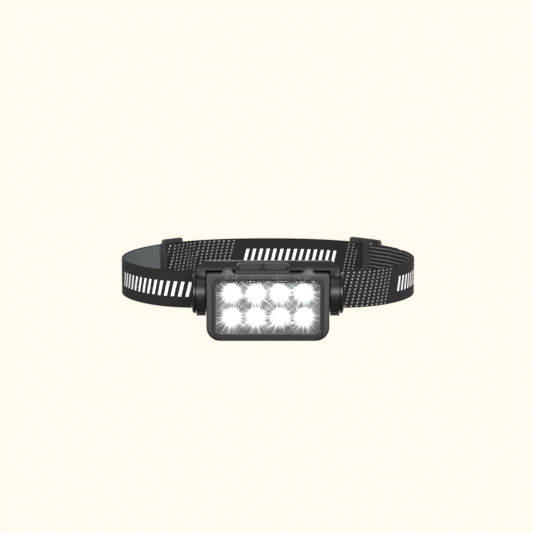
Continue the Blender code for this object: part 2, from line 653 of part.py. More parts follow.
def bezel():
    frame = plate("front_bezel", rounded(BEZEL_WIDTH, BEZEL_HEIGHT, BEZEL_CORNER_LOW, BEZEL_CORNER_TOP),
                  BEZEL_FRONT, BEZEL_DEPTH, 0, BEZEL_Z)
    for side in (-1, 1):
        half, tip = RIB_BASE / 2, RIB_TIP / 2
        low = BEZEL_TOP - 5 * OVERLAP
        top = BEZEL_TOP + RIB_RISE
        outline = [(-half, low), (half, low), (tip, top), (-tip, top)]
        join(frame, plate(f"bezel rib {side}", outline, BEZEL_FRONT + OVERLAP / 4,
                          BEZEL_DEPTH - OVERLAP / 2, side * RIB_OFFSET))
    opening = plate("window", rounded(WINDOW_WIDTH, WINDOW_HEIGHT, WINDOW_CORNER),
                    BEZEL_FRONT - BEZEL_DEPTH, 3 * BEZEL_DEPTH, 0, WINDOW_Z)
    cut(frame, opening)
    return finish(frame, bezel_plastic)


def lens_and_gasket():
    lens = finish(inset_plate("front_lens", LENS_FRONT, LENS_THICK), clear_plastic)
    gasket = inset_plate("lens_gasket", GASKET_FRONT, GASKET_THICK)
    hole = rounded(INSET_WIDTH - 2 * GASKET_LIP, INSET_HEIGHT - 2 * GASKET_LIP,
                   INSET_CORNER - GASKET_LIP)
    cut(gasket, plate("gasket hole", hole, GASKET_FRONT - GASKET_THICK, 3 * GASKET_THICK, 0, WINDOW_Z))
    return lens, finish(gasket, black_rubber)


def led_places():
    for row in range(LED_ROWS):
        for column in range(LED_COLUMNS):
            x = (column - (LED_COLUMNS - 1) / 2) * LED_PITCH
            z = WINDOW_Z + LED_RISE - (row - (LED_ROWS - 1) / 2) * LED_PITCH
            yield row * LED_COLUMNS + column + 1, x, z


def reflector():
    block = inset_plate("reflector", REFLECTOR_FRONT, REFLECTOR_THICK)
    slope = (CUP_FRONT_RADIUS - CUP_REAR_RADIUS) / REFLECTOR_THICK
    over = 2 * GAP
    for number, x, z in led_places():
        cup = rod(f"cup {number}", CUP_REAR_RADIUS - slope * over, REFLECTOR_THICK + 2 * over,
                  (x, REFLECTOR_FRONT + REFLECTOR_THICK / 2, z), UPRIGHT,
                  CUP_FRONT_RADIUS + slope * over, 32)
        cut(block, cup)
    return finish(block, chrome_film)


def leds():
    for number, x, z in led_places():
        at = (x, LED_BOARD_FRONT - GAP - LED_THICK / 2, z)
        yield finish(box(f"led_{number}", (LED_SIZE, LED_THICK, LED_SIZE), at, bevel=LED_EDGE), led_white)


def boards():
    led_board = finish(inset_plate("led_board", LED_BOARD_FRONT, LED_BOARD_THICK), board_white)
    low, high = HOUSING_LOW + HOUSING_WALL + GAP, HOUSING_TOP - HOUSING_WALL - GAP
    control = plate("control_board", rounded(CONTROL_BOARD_WIDTH, high - low, CONTROL_BOARD_THICK),
                    CONTROL_BOARD_FRONT, CONTROL_BOARD_THICK, 0, (low + high) / 2)
    notch = box("port notch", (PORT_WIDTH + 2 * GAP, 4 * CONTROL_BOARD_THICK, 2 * (PORT_LENGTH + GAP)),
                (0, CONTROL_BOARD_FRONT, PORT_LOW))
    cut(control, notch)
    return led_board, finish(control, board_green)


def charging_port():
    outline = rounded(PORT_WIDTH, PORT_THICK, PORT_THICK / 2 - PORT_ROUND)
    port = slab("charging_port", outline, PORT_LENGTH, (0, PORT_Y, PORT_LOW + PORT_LENGTH / 2), (0, 0, 0))
    mouth = rounded(PORT_WIDTH - 2 * PORT_WALL, PORT_THICK - 2 * PORT_WALL,
                    PORT_THICK / 2 - PORT_WALL - PORT_ROUND)
    cut(port, slab("port mouth", mouth, PORT_LENGTH, (0, PORT_Y, PORT_LOW - PORT_LENGTH / 8), (0, 0, 0)))
    return finish(port, steel)


def housing():
    """Rear shell: a flat box behind the bezel and a barrel on the tilt axis, open to the front."""
    depth = SLAB_BACK - HOUSING_FRONT
    low_corner = BEZEL_CORNER_LOW - HOUSING_INSET
    shell = plate("rear_housing", rounded(HOUSING_WIDTH, HOUSING_HEIGHT, low_corner, HOUSING_CORNER),
                  HOUSING_FRONT, depth, 0, HOUSING_Z)
    join(shell, rod("barrel", BARREL_RADIUS, HOUSING_WIDTH - OVERLAP, (0, AXIS_Y, 0), segments=48))
    bezel_room = box("bezel room", (2 * BEZEL_WIDTH, 2 * BEZEL_DEPTH, 2 * BEZEL_HEIGHT),
                     (0, HOUSING_FRONT - BEZEL_DEPTH, 0))
    cut(shell, bezel_room)
    inner_width = HOUSING_WIDTH - 2 * HOUSING_WALL
    inner = rounded(inner_width, HOUSING_HEIGHT - 2 * HOUSING_WALL, low_corner - HOUSING_WALL)
    cavity = plate("slab cavity", inner, HOUSING_FRONT - depth, 2 * depth - HOUSING_WALL, 0, HOUSING_Z)
    cell_room = rod("barrel cavity", BARREL_RADIUS - HOUSING_WALL, HOUSING_WIDTH - 2 * BARREL_END_WALL,
                    (0, AXIS_Y, 0), segments=48)
    cut(shell, cavity, cell_room)
    port_hole = rounded(PORT_WIDTH + 2 * GAP, PORT_THICK + 2 * GAP, PORT_THICK / 2)
    cut(shell, slab("port hole", port_hole, 4 * HOUSING_WALL, (0, PORT_Y, HOUSING_LOW), (0, 0, 0)))
    recess = rounded(COVER_WIDTH + 2 * GAP, COVER_LENGTH + 2 * GAP, COVER_CORNER + GAP)
    cut(shell, slab("cover recess", recess, 2 * COVER_THICK, (0, COVER_Y, HOUSING_LOW), (0, 0, 0)))
    room_depth = depth - 2 * HOUSING_WALL
    switch_room = box("switch opening", (SWITCH_BOARD_WIDTH + 2 * GAP, room_depth, 4 * HOUSING_WALL),
                      (POD_CENTRE_X, HOUSING_FRONT + room_depth / 2 - HOUSING_WALL, HOUSING_TOP))
    cut(shell, switch_room)
    for side in (-1, 1):
        cut(shell, rod(f"pivot screw hole {side}", SCREW_SHANK_RADIUS + GAP, 3 * BARREL_END_WALL,
                       (side * HOUSING_END, AXIS_Y, 0)))
    return finish(shell, housing_plastic)


def port_cover():
    outline = rounded(COVER_WIDTH, COVER_LENGTH, COVER_CORNER)
    at = (0, COVER_Y, HOUSING_LOW + COVER_THICK / 2)
    return finish(slab("port_cover", outline, COVER_THICK, at, (0, 0, 0)), black_rubber)


def battery():
    at = (0, (CELL_FRONT + CELL_REAR) / 2, 0)
    size = (CELL_WIDTH, CELL_REAR - CELL_FRONT, CELL_HEIGHT)
    return finish(box("battery_cell", size, at, bevel=CELL_EDGE), cell_wrap)


lamp_pieces = [bezel(), *lens_and_gasket(), reflector(), *leds(), *boards(), charging_port(),
               housing(), battery()]
carry(tilt_axis, *lamp_pieces)

# ---------------------------------------------------------------- tilt hinges


def ratchet_disc(name, side):
    """A toothed ring between the barrel's end and the arm."""
    outline = []
    for i in range(2 * DISC_TEETH):
        angle = math.pi * i / DISC_TEETH
        radius = DISC_RADIUS if i % 2 else DISC_RADIUS - TOOTH
        outline.append((radius * math.cos(angle), radius * math.sin(angle)))
    x = side * (HOUSING_END + GAP + DISC_THICK / 2)
    disc = slab(name, outline, DISC_THICK, (x, AXIS_Y, 0), SIDEWAYS)
    cut(disc, rod(f"{name} hole", PIVOT_RADIUS + GAP, 3 * DISC_THICK, (x, AXIS_Y, 0)))
    return finish(disc, steel)


def pivot(name, side):
    """The bush that turns in the arm's bore."""
    inner, outer = HOUSING_END + GAP, ARM_OUTER
    x = side * (inner + outer) / 2
    bush = rod(name, PIVOT_RADIUS, outer - inner, (x, AXIS_Y, 0), segments=40)
    cut(bush, rod(f"{name} hole", SCREW_SHANK_RADIUS + GAP, 2 * outer, (x, AXIS_Y, 0)))
    return finish(bush, housing_plastic)


def hinge_cap(name, side):
    """A domed disc over the arm's end, hollow over the pivot screw's head."""
    rim, dome = CAP_RADIUS, CAP_THICK
    room = SCREW_HEAD_RADIUS + CAP_ROOM
    profile = [
        (0, dome - CAP_DISH),
        (rim * 0.62, dome - CAP_DISH),
        (rim * 0.66, dome),
        (rim * 0.82, dome),
        (rim * 0.95, dome * 0.78),
        (rim, dome * 0.5),
        (rim, 0),
        (room, 0),
        (room, dome - 2 * CAP_DISH),
        (0, dome - 2 * CAP_DISH),
    ]
    at = (side * (ARM_OUTER + GAP), AXIS_Y, 0)
    cap = turned(name, profile, at, FROM_RIGHT if side > 0 else FROM_LEFT, 48)
    return finish(cap, housing_plastic)


for side, name in ((-1, "left"), (1, "right")):
    pivot_screw = screw(f"pivot_screw_{name}", (side * (ARM_OUTER + GAP), AXIS_Y, 0),
                        FROM_RIGHT if side > 0 else FROM_LEFT, ARM_OUTER + GAP - HOUSING_END + SCREW_BITE)
    carry(tilt_axis, ratchet_disc(f"ratchet_disc_{name}", side), pivot(f"pivot_{name}", side),
          hinge_cap(f"hinge_cap_{name}", side), pivot_screw)

# ---------------------------------------------------------------- buttons


def on_face(x, up_slope, out):
    """A point by its place on the pod's sloping face and its height over it."""
    return POD_FACE_MIDDLE + FACE_TILT @ Vector((x, up_slope, out))


def pod():
    """The raised switch cover: a wedge over the bezel's top bar and the housing's opening."""
    end = POD_FACE_START + FACE_TILT @ Vector((0, POD_FACE, 0))
    rear = SLAB_BACK - POD_SET_BACK
    outline = [
        (POD_FACE_START.y, BEZEL_TOP + GAP),
        (HOUSING_FRONT, BEZEL_TOP + GAP),
        (HOUSING_FRONT, HOUSING_TOP + GAP),
        (rear, HOUSING_TOP + GAP),
        (rear, end.z - POD_REAR_EDGE),
        (rear - POD_REAR_EDGE, end.z),
        (end.y, end.z),
        (POD_FACE_START.y, POD_FACE_START.z),
    ]
    wedge = slab("switch_pod", outline, POD_WIDTH, (POD_CENTRE_X, 0, 0), SIDEWAYS)
    tall = 4 * (end.z - BEZEL_TOP)
    front_view = plate("pod front view", rounded(POD_WIDTH, tall, POD_CORNER),
                       BEZEL_FRONT, POD_WIDTH, POD_CENTRE_X, end.z - tall / 2)
    boolean(wedge, front_view, "INTERSECT")
    tilt = (POD_SLOPE, 0, 0)
    room = box("switch room", (SWITCH_BOARD_WIDTH + 2 * GAP, SWITCH_BOARD_LENGTH + 2 * GAP, POD_FACE),
               on_face(0, STEM_SHIFT, -POD_WALL - POD_FACE / 2), tilt)
    cut(wedge, room)
    for side in (-1, 1):
        outline = rounded(BUTTON_WIDTH + 2 * GAP, BUTTON_LENGTH + 2 * GAP, BUTTON_CORNER + GAP)
        deep = BUTTON_SUNK + BUTTON_TRAVEL + PRESS_SPARE
        cut(wedge, slab(f"button pocket {side}", outline, 2 * deep, on_face(side * BUTTON_X, 0, 0), tilt))
        cut(wedge, rod(f"stem hole {side}", STEM_RADIUS + GAP, POD_FACE,
                       on_face(side * BUTTON_X, STEM_SHIFT, -POD_FACE / 2), tilt))
    return finish(wedge, bezel_plastic)


def button(name, side):
    outline = rounded(BUTTON_WIDTH, BUTTON_LENGTH, BUTTON_CORNER)
    middle = (BUTTON_PROUD - BUTTON_SUNK) / 2
    tilt = (POD_SLOPE, 0, 0)
    cap = slab(name, outline, BUTTON_PROUD + BUTTON_SUNK, on_face(side * BUTTON_X, 0, middle), tilt)
    stem_middle = -BUTTON_SUNK - (STEM_LENGTH - OVERLAP) / 2
    join(cap, rod(f"{name} stem", STEM_RADIUS, STEM_LENGTH + OVERLAP,
                  on_face(side * BUTTON_X, STEM_SHIFT, stem_middle), tilt, segments=20))
    return finish(cap, button_rubber)


def switches():
    top = -BUTTON_SUNK - STEM_LENGTH - BUTTON_TRAVEL - PRESS_SPARE
    tilt = (POD_SLOPE, 0, 0)
    for side, name in ((-1, "left"), (1, "right")):
        at = on_face(side * BUTTON_X, STEM_SHIFT, top - SWITCH_THICK / 2)
        yield finish(box(f"tact_switch_{name}", (SWITCH_SIZE, SWITCH_SIZE, SWITCH_THICK), at, tilt), steel)
    at = on_face(0, STEM_SHIFT, top - SWITCH_THICK - GAP - CONTROL_BOARD_THICK / 2)
    size = (SWITCH_BOARD_WIDTH, SWITCH_BOARD_LENGTH, CONTROL_BOARD_THICK)
    yield finish(box("switch_board", size, at, tilt), board_green)


carry(tilt_axis, pod(), *switches())
for side, name in ((-1, "left"), (1, "right")):
    press_axis = empty(f"button_{name}_axis", on_face(side * BUTTON_X, 0, 0), (POD_SLOPE, 0, 0))
    carry(press_axis, button(f"button_{name}", side))
    carry(tilt_axis, press_axis)

cover_axis = empty("port_cover_axis", (0, COVER_Y - COVER_LENGTH / 2, HOUSING_LOW))
carry(cover_axis, port_cover())
carry(tilt_axis, cover_axis)
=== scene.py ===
# %% [markdown]
# # Headlamp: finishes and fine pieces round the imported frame
#
# The frame holds every solid at its real size and place: a lamp head that tilts in a yoke,
# and the yoke on an elastic head strap with two sliders. This lesson gives each one its
# finish, and swaps the plain solids that are seen close up for finer pieces in the same place.
# The lamp shines along -Y, Z is up, and all lengths are metres.

# %% Load the frame
import json
import math

import bmesh
import bpy
from mathutils import Matrix, Vector

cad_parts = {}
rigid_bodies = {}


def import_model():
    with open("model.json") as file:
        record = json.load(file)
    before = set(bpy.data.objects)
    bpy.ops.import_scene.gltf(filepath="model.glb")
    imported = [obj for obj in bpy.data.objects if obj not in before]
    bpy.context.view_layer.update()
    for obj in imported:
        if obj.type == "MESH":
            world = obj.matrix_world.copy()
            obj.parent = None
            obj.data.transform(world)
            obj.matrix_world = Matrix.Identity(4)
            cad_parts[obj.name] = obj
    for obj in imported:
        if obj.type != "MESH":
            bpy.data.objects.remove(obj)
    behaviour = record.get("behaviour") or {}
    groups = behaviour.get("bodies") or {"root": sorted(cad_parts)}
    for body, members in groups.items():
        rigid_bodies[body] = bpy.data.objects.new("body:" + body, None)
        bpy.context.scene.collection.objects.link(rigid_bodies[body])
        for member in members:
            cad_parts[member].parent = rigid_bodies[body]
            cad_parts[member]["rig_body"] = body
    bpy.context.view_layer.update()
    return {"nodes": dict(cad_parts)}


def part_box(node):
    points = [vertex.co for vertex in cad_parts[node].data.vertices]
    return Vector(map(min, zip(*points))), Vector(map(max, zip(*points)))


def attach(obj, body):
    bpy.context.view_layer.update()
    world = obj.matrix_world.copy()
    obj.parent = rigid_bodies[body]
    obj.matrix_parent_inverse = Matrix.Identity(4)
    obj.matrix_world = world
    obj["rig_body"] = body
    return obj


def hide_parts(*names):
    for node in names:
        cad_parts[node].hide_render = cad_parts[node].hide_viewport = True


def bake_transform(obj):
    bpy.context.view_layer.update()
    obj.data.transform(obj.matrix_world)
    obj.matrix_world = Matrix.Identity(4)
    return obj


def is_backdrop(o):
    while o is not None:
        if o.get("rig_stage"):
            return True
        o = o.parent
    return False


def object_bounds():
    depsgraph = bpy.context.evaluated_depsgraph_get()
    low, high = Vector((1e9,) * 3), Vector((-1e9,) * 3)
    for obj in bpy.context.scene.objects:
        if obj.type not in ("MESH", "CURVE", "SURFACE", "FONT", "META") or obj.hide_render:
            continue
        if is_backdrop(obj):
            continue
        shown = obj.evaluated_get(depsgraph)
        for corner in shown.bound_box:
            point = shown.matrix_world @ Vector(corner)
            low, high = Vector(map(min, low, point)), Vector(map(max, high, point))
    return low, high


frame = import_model()
MM = 0.001
nodes = frame["nodes"]

# %% [markdown]
# ## Small helpers
#
# Colours are given as screen colours, so one function turns their hex code into the
# linear values that a shader wants. One function adds a node to a shader or a geometry tree:
# an input that is given a socket is linked, and any other value is set on the input itself.
# It gives back one output, which is the first unless another is named. The third lays colours
# over each other, and the fourth starts a Principled finish whose constant values stay on the
# shader's own sockets. The last puts a mesh, a lamp or a camera into the scene.


# %% Colour, node and object helpers
def linear(code):
    parts = [int(code[i : i + 2], 16) / 255 for i in (0, 2, 4)]
    return (*(c / 12.92 if c <= 0.04045 else ((c + 0.055) / 1.055) ** 2.4 for c in parts), 1.0)


def add(tree, kind, inputs=None, output=0, **settings):
    made = tree.nodes.new(kind)
    for key, value in settings.items():
        setattr(made, key, value)
    for key, value in (inputs or {}).items():
        if isinstance(value, bpy.types.NodeSocket):
            tree.links.new(value, made.inputs[key])
        else:
            made.inputs[key].default_value = value
    return made.outputs[output] if made.outputs else made


def layered(tree, colour, *layers):
    """A colour with others laid over it, each a pair of a colour and its mask."""
    for over, mask in layers:
        colour = add(tree, "ShaderNodeMix", {"Factor": mask, "A": colour, "B": over}, "Result",
                     data_type="RGBA")
    return colour


def start_finish(name, **constants):
    made = bpy.data.materials.new(name)
    made.use_nodes = True
    tree = made.node_tree
    shader = tree.nodes["Principled BSDF"]
    for key, value in constants.items():
        shader.inputs[key.replace("_", " ")].default_value = value
    place = add(tree, "ShaderNodeTexCoord", output="Object")
    return made, tree, shader, place


def placed(name, data):
    made = bpy.data.objects.new(name, data)
    bpy.context.scene.collection.objects.link(made)
    return made


print("mid grey 808080 is", round(linear("808080")[0], 3), "as a linear value")

# %% [markdown]
# ## Moulded plastics and rubbers
#
# Most of the lamp is injection moulded: ABS for the housing, glass-filled nylon for the yoke,
# acetal for the sliders, silicone for the buttons and seals. A mould's spark-eroded surface
# leaves a pebbled grain of 0.1 to 0.4 mm on the part, which breaks up its highlight. Handling
# polishes patches of it, so the roughness drifts over centimetres, and the colour with it.
# One function makes them all from two colours, a roughness and a grain size.


# %% Moulded finishes
def moulded(name, code, worn_code, roughness, grain, bump, ior=1.5, sheen=0.0):
    made, tree, shader, place = start_finish(name, IOR=ior, Sheen_Weight=sheen)
    drift = add(tree, "ShaderNodeTexNoise", {"Vector": place, "Scale": 1 / (14 * MM), "Detail": 3.0})
    pebble = add(tree, "ShaderNodeTexNoise",
                 {"Vector": place, "Scale": 1 / grain, "Detail": 2.0, "Roughness": 0.6})
    patches = add(tree, "ShaderNodeMapRange", {"Value": drift, "From Min": 0.35, "From Max": 0.7})
    tint = layered(tree, linear(code), (linear(worn_code), patches))
    tree.links.new(tint, shader.inputs["Base Color"])
    gloss = add(tree, "ShaderNodeMapRange",
                {"Value": drift, "To Min": roughness + 0.06, "To Max": roughness - 0.06})
    tree.links.new(gloss, shader.inputs["Roughness"])
    relief = add(tree, "ShaderNodeBump", {"Height": pebble, "Strength": bump, "Distance": 0.05 * MM})
    tree.links.new(relief, shader.inputs["Normal"])
    return made


abs_housing = moulded("Moulded ABS, spark-eroded", "121314", "191A1B", 0.45, 0.35 * MM, 0.5)
abs_bezel = moulded("Satin moulded ABS, dark grey", "232425", "2A2B2C", 0.47, 0.3 * MM, 0.4)
abs_pod = moulded("Satin moulded ABS, black", "161718", "1D1E1F", 0.5, 0.3 * MM, 0.4)
nylon = moulded("Glass-filled nylon, satin", "0D0E0F", "131415", 0.46, 0.4 * MM, 0.5)
nylon_cap = moulded("Polished nylon, black", "080909", "0D0E0E", 0.34, 0.4 * MM, 0.25)
acetal = moulded("Moulded acetal, black", "2A2B2C", "353637", 0.42, 0.25 * MM, 0.3)
silicone_grey = moulded("Silicone rubber, grey", "2A2B2C", "323334", 0.68, 0.25 * MM, 0.6, 1.41, 0.03)
silicone_black = moulded("Silicone rubber, black", "101111", "171818", 0.65, 0.25 * MM, 0.5, 1.41, 0.05)
print("moulded finishes, from", abs_housing.name, "to", silicone_black.name)

# %% [markdown]
# ## Metals and hidden parts
#
# Screws are zinc-plated steel, which is rolled or turned and then plated: bright, slightly
# milky, with fine turning lines. The ratchet discs are the same steel, blackened, because
# nothing bright shows in the gap beside them. The cell's pouch is aluminium foil that
# creases. The two kinds of circuit board carry a solder mask, a glassy lacquer over a woven
# glass laminate whose weave of about 0.5 mm just shows through. The white board is flooded
# by the LEDs on it, so it gives off light too.


# %% Plated steel, foil and solder mask
def brushed(name, code, roughness, line, bump):
    made, tree, shader, place = start_finish(name, Metallic=1.0)
    shader.inputs["Base Color"].default_value = linear(code)
    stretched = add(tree, "ShaderNodeMapping", {"Vector": place, "Scale": (0.12, 1, 1)})
    lines = add(tree, "ShaderNodeTexNoise", {"Vector": stretched, "Scale": 1 / line, "Detail": 4.0})
    gloss = add(tree, "ShaderNodeMapRange",
                {"Value": lines, "To Min": roughness - 0.08, "To Max": roughness + 0.1})
    tree.links.new(gloss, shader.inputs["Roughness"])
    relief = add(tree, "ShaderNodeBump", {"Height": lines, "Strength": bump, "Distance": 0.02 * MM})
    tree.links.new(relief, shader.inputs["Normal"])
    return made


def solder_mask(name, code, under_code):
    made, tree, shader, place = start_finish(name, Roughness=0.3, Coat_Weight=0.4)
    weave = add(tree, "ShaderNodeTexChecker", {
        "Vector": place, "Scale": 1 / (0.5 * MM), "Color1": linear(code), "Color2": linear(under_code)})
    tree.links.new(weave, shader.inputs["Base Color"])
    return made


plated_steel = brushed("Zinc-plated steel", "A9ACB0", 0.3, 0.3 * MM, 0.4)
blackened_steel = brushed("Black-oxide steel", "1A1A1B", 0.5, 0.3 * MM, 0.4)
foil = brushed("Aluminium pouch foil", "B7BABD", 0.35, 4 * MM, 1.0)
mask_white = solder_mask("Solder mask, white", "E8E8E4", "DCDCD6")
mask_green = solder_mask("Solder mask, green", "1E5A38", "1A5033")
lit_board = mask_white.node_tree.nodes["Principled BSDF"]
lit_board.inputs["Emission Color"].default_value = linear("FFFFFF")
lit_board.inputs["Emission Strength"].default_value = 1.0
print("metals and boards, from", plated_steel.name, "to", mask_green.name)

# %% [markdown]
# ## Clear lens
#
# The window is a clear polycarbonate pane, moulded with a polished face. Its index is 1.58, and
# a slight ripple from the mould keeps the reflections from being perfect.

# %% Polycarbonate
clear_lens, tree, shader, place = start_finish(
    "Polycarbonate, clear", Roughness=0.03, IOR=1.58, Transmission_Weight=1.0)
shader.inputs["Base Color"].default_value = linear("F4F7F9")
ripple = add(tree, "ShaderNodeTexNoise", {"Vector": place, "Scale": 1 / (9 * MM), "Detail": 1.0})
relief = add(tree, "ShaderNodeBump", {"Height": ripple, "Strength": 0.05, "Distance": 0.1 * MM})
tree.links.new(relief, shader.inputs["Normal"])
print(f"{clear_lens.name}: index {shader.inputs['IOR'].default_value:.2f}")

# %% [markdown]
# ## The lit reflector
#
# Eight LEDs sit in the cups of a metallised reflector, and the lamp is on. A lit cup is far
# brighter than anything round it, so it reads as a white disc, and the fluted metal round it
# throws a fan of fine rays. Tracing that light through the flutes would need thousands of
# samples, so the finish gives off the light itself: a bright core at each LED, a ring of rays
# whose lengths and widths come from noise on the angle, and a wide glow that falls off
# towards the window's edge. It is drawn from Object coordinates, so it stays on the metal.
# The bezel's finish gives off a share of the same glow, which makes it lightest above the window, and
# its lower rim, which turns under, has painted shade: its colour goes to near black towards the bottom.

# %% One LED's light, as a node group
CORE_INNER, CORE_OUTER = 3.6, 7.9  # these reaches are millimetres from the LED's middle
GLOW_REACH, GLOW_LEVEL = 8.4, 0.4
RAY_START, RAY_SHORT, RAY_LONG = 4.5, 9.5, 15.0
led_boxes = [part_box(f"led_{n}") for n in range(1, 9)]
led_places = [(low + high) / 2 for low, high in led_boxes]

one_light = bpy.data.node_groups.new("light of one led", "ShaderNodeTree")
for name, kind, way in (("Place", "NodeSocketVector", "INPUT"), ("Centre", "NodeSocketVector", "INPUT"),
                        ("Seed", "NodeSocketFloat", "INPUT"), ("Light", "NodeSocketFloat", "OUTPUT")):
    one_light.interface.new_socket(name, in_out=way, socket_type=kind)
given = one_light.nodes.new("NodeGroupInput").outputs
out = add(one_light, "ShaderNodeVectorMath", {0: given["Place"], 1: given["Centre"]}, operation="SUBTRACT")
out = add(one_light, "ShaderNodeVectorMath", {0: out, 1: (1000, 0, 1000)}, operation="MULTIPLY")
reach = add(one_light, "ShaderNodeVectorMath", {0: out}, "Value", operation="LENGTH")
around = add(one_light, "ShaderNodeVectorMath", {0: out}, operation="NORMALIZE")
core = add(one_light, "ShaderNodeMapRange",
           {"Value": reach, "From Min": CORE_INNER, "From Max": CORE_OUTER, "To Min": 1.0, "To Max": 0.0},
           interpolation_type="SMOOTHSTEP")
away = add(one_light, "ShaderNodeMath", {0: reach, 1: GLOW_REACH}, operation="DIVIDE")
away = add(one_light, "ShaderNodeMath", {0: away, 1: 2.0}, operation="POWER")
away = add(one_light, "ShaderNodeMath", {0: away, 1: -1.0}, operation="MULTIPLY")
glow = add(one_light, "ShaderNodeMath", {0: away}, operation="EXPONENT")
glow = add(one_light, "ShaderNodeMath", {0: glow, 1: GLOW_LEVEL}, operation="MULTIPLY")
fine = add(one_light, "ShaderNodeTexNoise",
           {"Vector": around, "W": given["Seed"], "Scale": 12.0, "Detail": 1.0, "Roughness": 0.6},
           noise_dimensions="4D")
broad = add(one_light, "ShaderNodeTexNoise", {"Vector": around, "W": given["Seed"], "Scale": 5.0},
            noise_dimensions="4D")
sharp = add(one_light, "ShaderNodeMapRange", {"Value": fine, "From Min": 0.5, "From Max": 0.6})
longest = add(one_light, "ShaderNodeMapRange",
              {"Value": broad, "From Min": 0.3, "From Max": 0.7, "To Min": RAY_SHORT, "To Max": RAY_LONG})
fade = add(one_light, "ShaderNodeMapRange",
           {"Value": reach, "From Min": RAY_START, "From Max": longest, "To Min": 0.95, "To Max": 0.0})
fade = add(one_light, "ShaderNodeMath", {0: fade, 1: 0.9}, operation="POWER")
rays = add(one_light, "ShaderNodeMath", {0: sharp, 1: fade}, operation="MULTIPLY")
shadow = add(one_light, "ShaderNodeMapRange",
             {"Value": fine, "From Min": 0.3, "From Max": 0.5, "To Min": 0.4, "To Max": 1.0})
glow = add(one_light, "ShaderNodeMath", {0: glow, 1: shadow}, operation="MULTIPLY")
total = add(one_light, "ShaderNodeMath", {0: core, 1: glow}, operation="ADD")
total = add(one_light, "ShaderNodeMath", {0: total, 1: rays}, operation="ADD")
add(one_light, "NodeGroupOutput", {"Light": total})
print("LED pitch", round((led_places[1] - led_places[0]).x / MM, 2), "mm")

# %% Metallised reflector, lit
metallised, tree, shader, place = start_finish("Vacuum-metallised plastic, lit", Metallic=1.0)
shader.inputs["Base Color"].default_value = linear("333436")
streak = add(tree, "ShaderNodeTexNoise", {"Vector": place, "Scale": 1 / (2 * MM), "Detail": 3.0})
gloss = add(tree, "ShaderNodeMapRange", {"Value": streak, "To Min": 0.25, "To Max": 0.4})
tree.links.new(gloss, shader.inputs["Roughness"])


def lit_by_leds(tree, place, share):
    """The eight LEDs' light on a surface, scaled by a share."""
    light = 0.0
    for number, centre in enumerate(led_places):
        group = tree.nodes.new("ShaderNodeGroup")
        group.node_tree = one_light
        tree.links.new(place, group.inputs["Place"])
        group.inputs["Centre"].default_value = centre
        group.inputs["Seed"].default_value = 3.7 * number
        light = add(tree, "ShaderNodeMath", {0: light, 1: group.outputs[0]}, operation="ADD")
    shader = tree.nodes["Principled BSDF"]
    shader.inputs["Emission Color"].default_value = linear("FDFEFF")
    light = add(tree, "ShaderNodeMath", {0: light, 1: share}, operation="MULTIPLY")
    tree.links.new(light, shader.inputs["Emission Strength"])


lit_by_leds(tree, place, 1.0)
print(f"{metallised.name}: lit by {len(led_places)} LEDs")

# %% The bezel's share of the light, and painted shade on its lower rim
BEZEL_SHARE = 0.5
PAINTED_SHADE_FULL_BELOW, PAINTED_SHADE_ENDS_ABOVE = -27.5 * MM, -21 * MM
tree = abs_bezel.node_tree
shader = tree.nodes["Principled BSDF"]
place = add(tree, "ShaderNodeMapping", {"Vector": tree.nodes["Texture Coordinate"].outputs["Object"]})
lit_by_leds(tree, place, BEZEL_SHARE)
# Painted shade: below the height band the bezel's colour is mixed towards near black 08080A, and its
# painted glow is dimmed with it.
plain = shader.inputs["Base Color"].links[0].from_socket
height = add(tree, "ShaderNodeSeparateXYZ", {"Vector": place}, "Z")
shade = add(tree, "ShaderNodeMapRange",
            {"Value": height, "From Min": PAINTED_SHADE_FULL_BELOW, "From Max": PAINTED_SHADE_ENDS_ABOVE})
tree.links.new(layered(tree, linear("08080A"), (plain, shade)), shader.inputs["Base Color"])
spill = shader.inputs["Emission Strength"].links[0].from_socket
spill = add(tree, "ShaderNodeMath", {0: spill, 1: shade}, operation="MULTIPLY")
tree.links.new(spill, shader.inputs["Emission Strength"])
print(f"{abs_bezel.name}: takes {BEZEL_SHARE:.0%} of the reflector's light")

# %% Lit LED packages
lit_package, tree, shader, place = start_finish("LED package, lit", Roughness=0.4)
shader.inputs["Base Color"].default_value = linear("F6F4E4")
shader.inputs["Emission Color"].default_value = linear("FFFFFF")
grains = add(tree, "ShaderNodeTexNoise", {"Vector": place, "Scale": 1 / (0.4 * MM)})
glare = add(tree, "ShaderNodeMapRange", {"Value": grains, "To Min": 1.2, "To Max": 1.5})
tree.links.new(glare, shader.inputs["Emission Strength"])
print(f"{lit_package.name}: roughness {shader.inputs['Roughness'].default_value:.1f}")

# %% [markdown]
# ## Foam and knit
#
# The forehead pad is closed-cell foam under a thin knitted face. Knit shows as small bumps
# in rows about 1.2 mm apart, which a Voronoi pattern at that spacing gives.

# %% Knit over foam
KNIT_PITCH = 1.2 * MM
knit, tree, shader, place = start_finish("Knitted polyester over foam", Roughness=0.95, Sheen_Weight=0.25)
cells = add(tree, "ShaderNodeTexVoronoi", {"Vector": place, "Scale": 1 / KNIT_PITCH, "Randomness": 0.35})
shade = layered(tree, linear("3A3B3E"), (linear("1D1E20"), cells))
tree.links.new(shade, shader.inputs["Base Color"])
relief = add(tree, "ShaderNodeBump", {"Height": cells, "Strength": 0.8, "Distance": 0.25 * MM}, invert=True)
tree.links.new(relief, shader.inputs["Normal"])
print(f"{knit.name}: bumps every {KNIT_PITCH / MM:.1f} mm")

# %% [markdown]
# ## Finishes for the frame's solids
#
# Solids that stay hidden inside the lamp get a finish too, because the model is also opened
# up. Only the strap's three solids are left out, because the webbing takes their place.

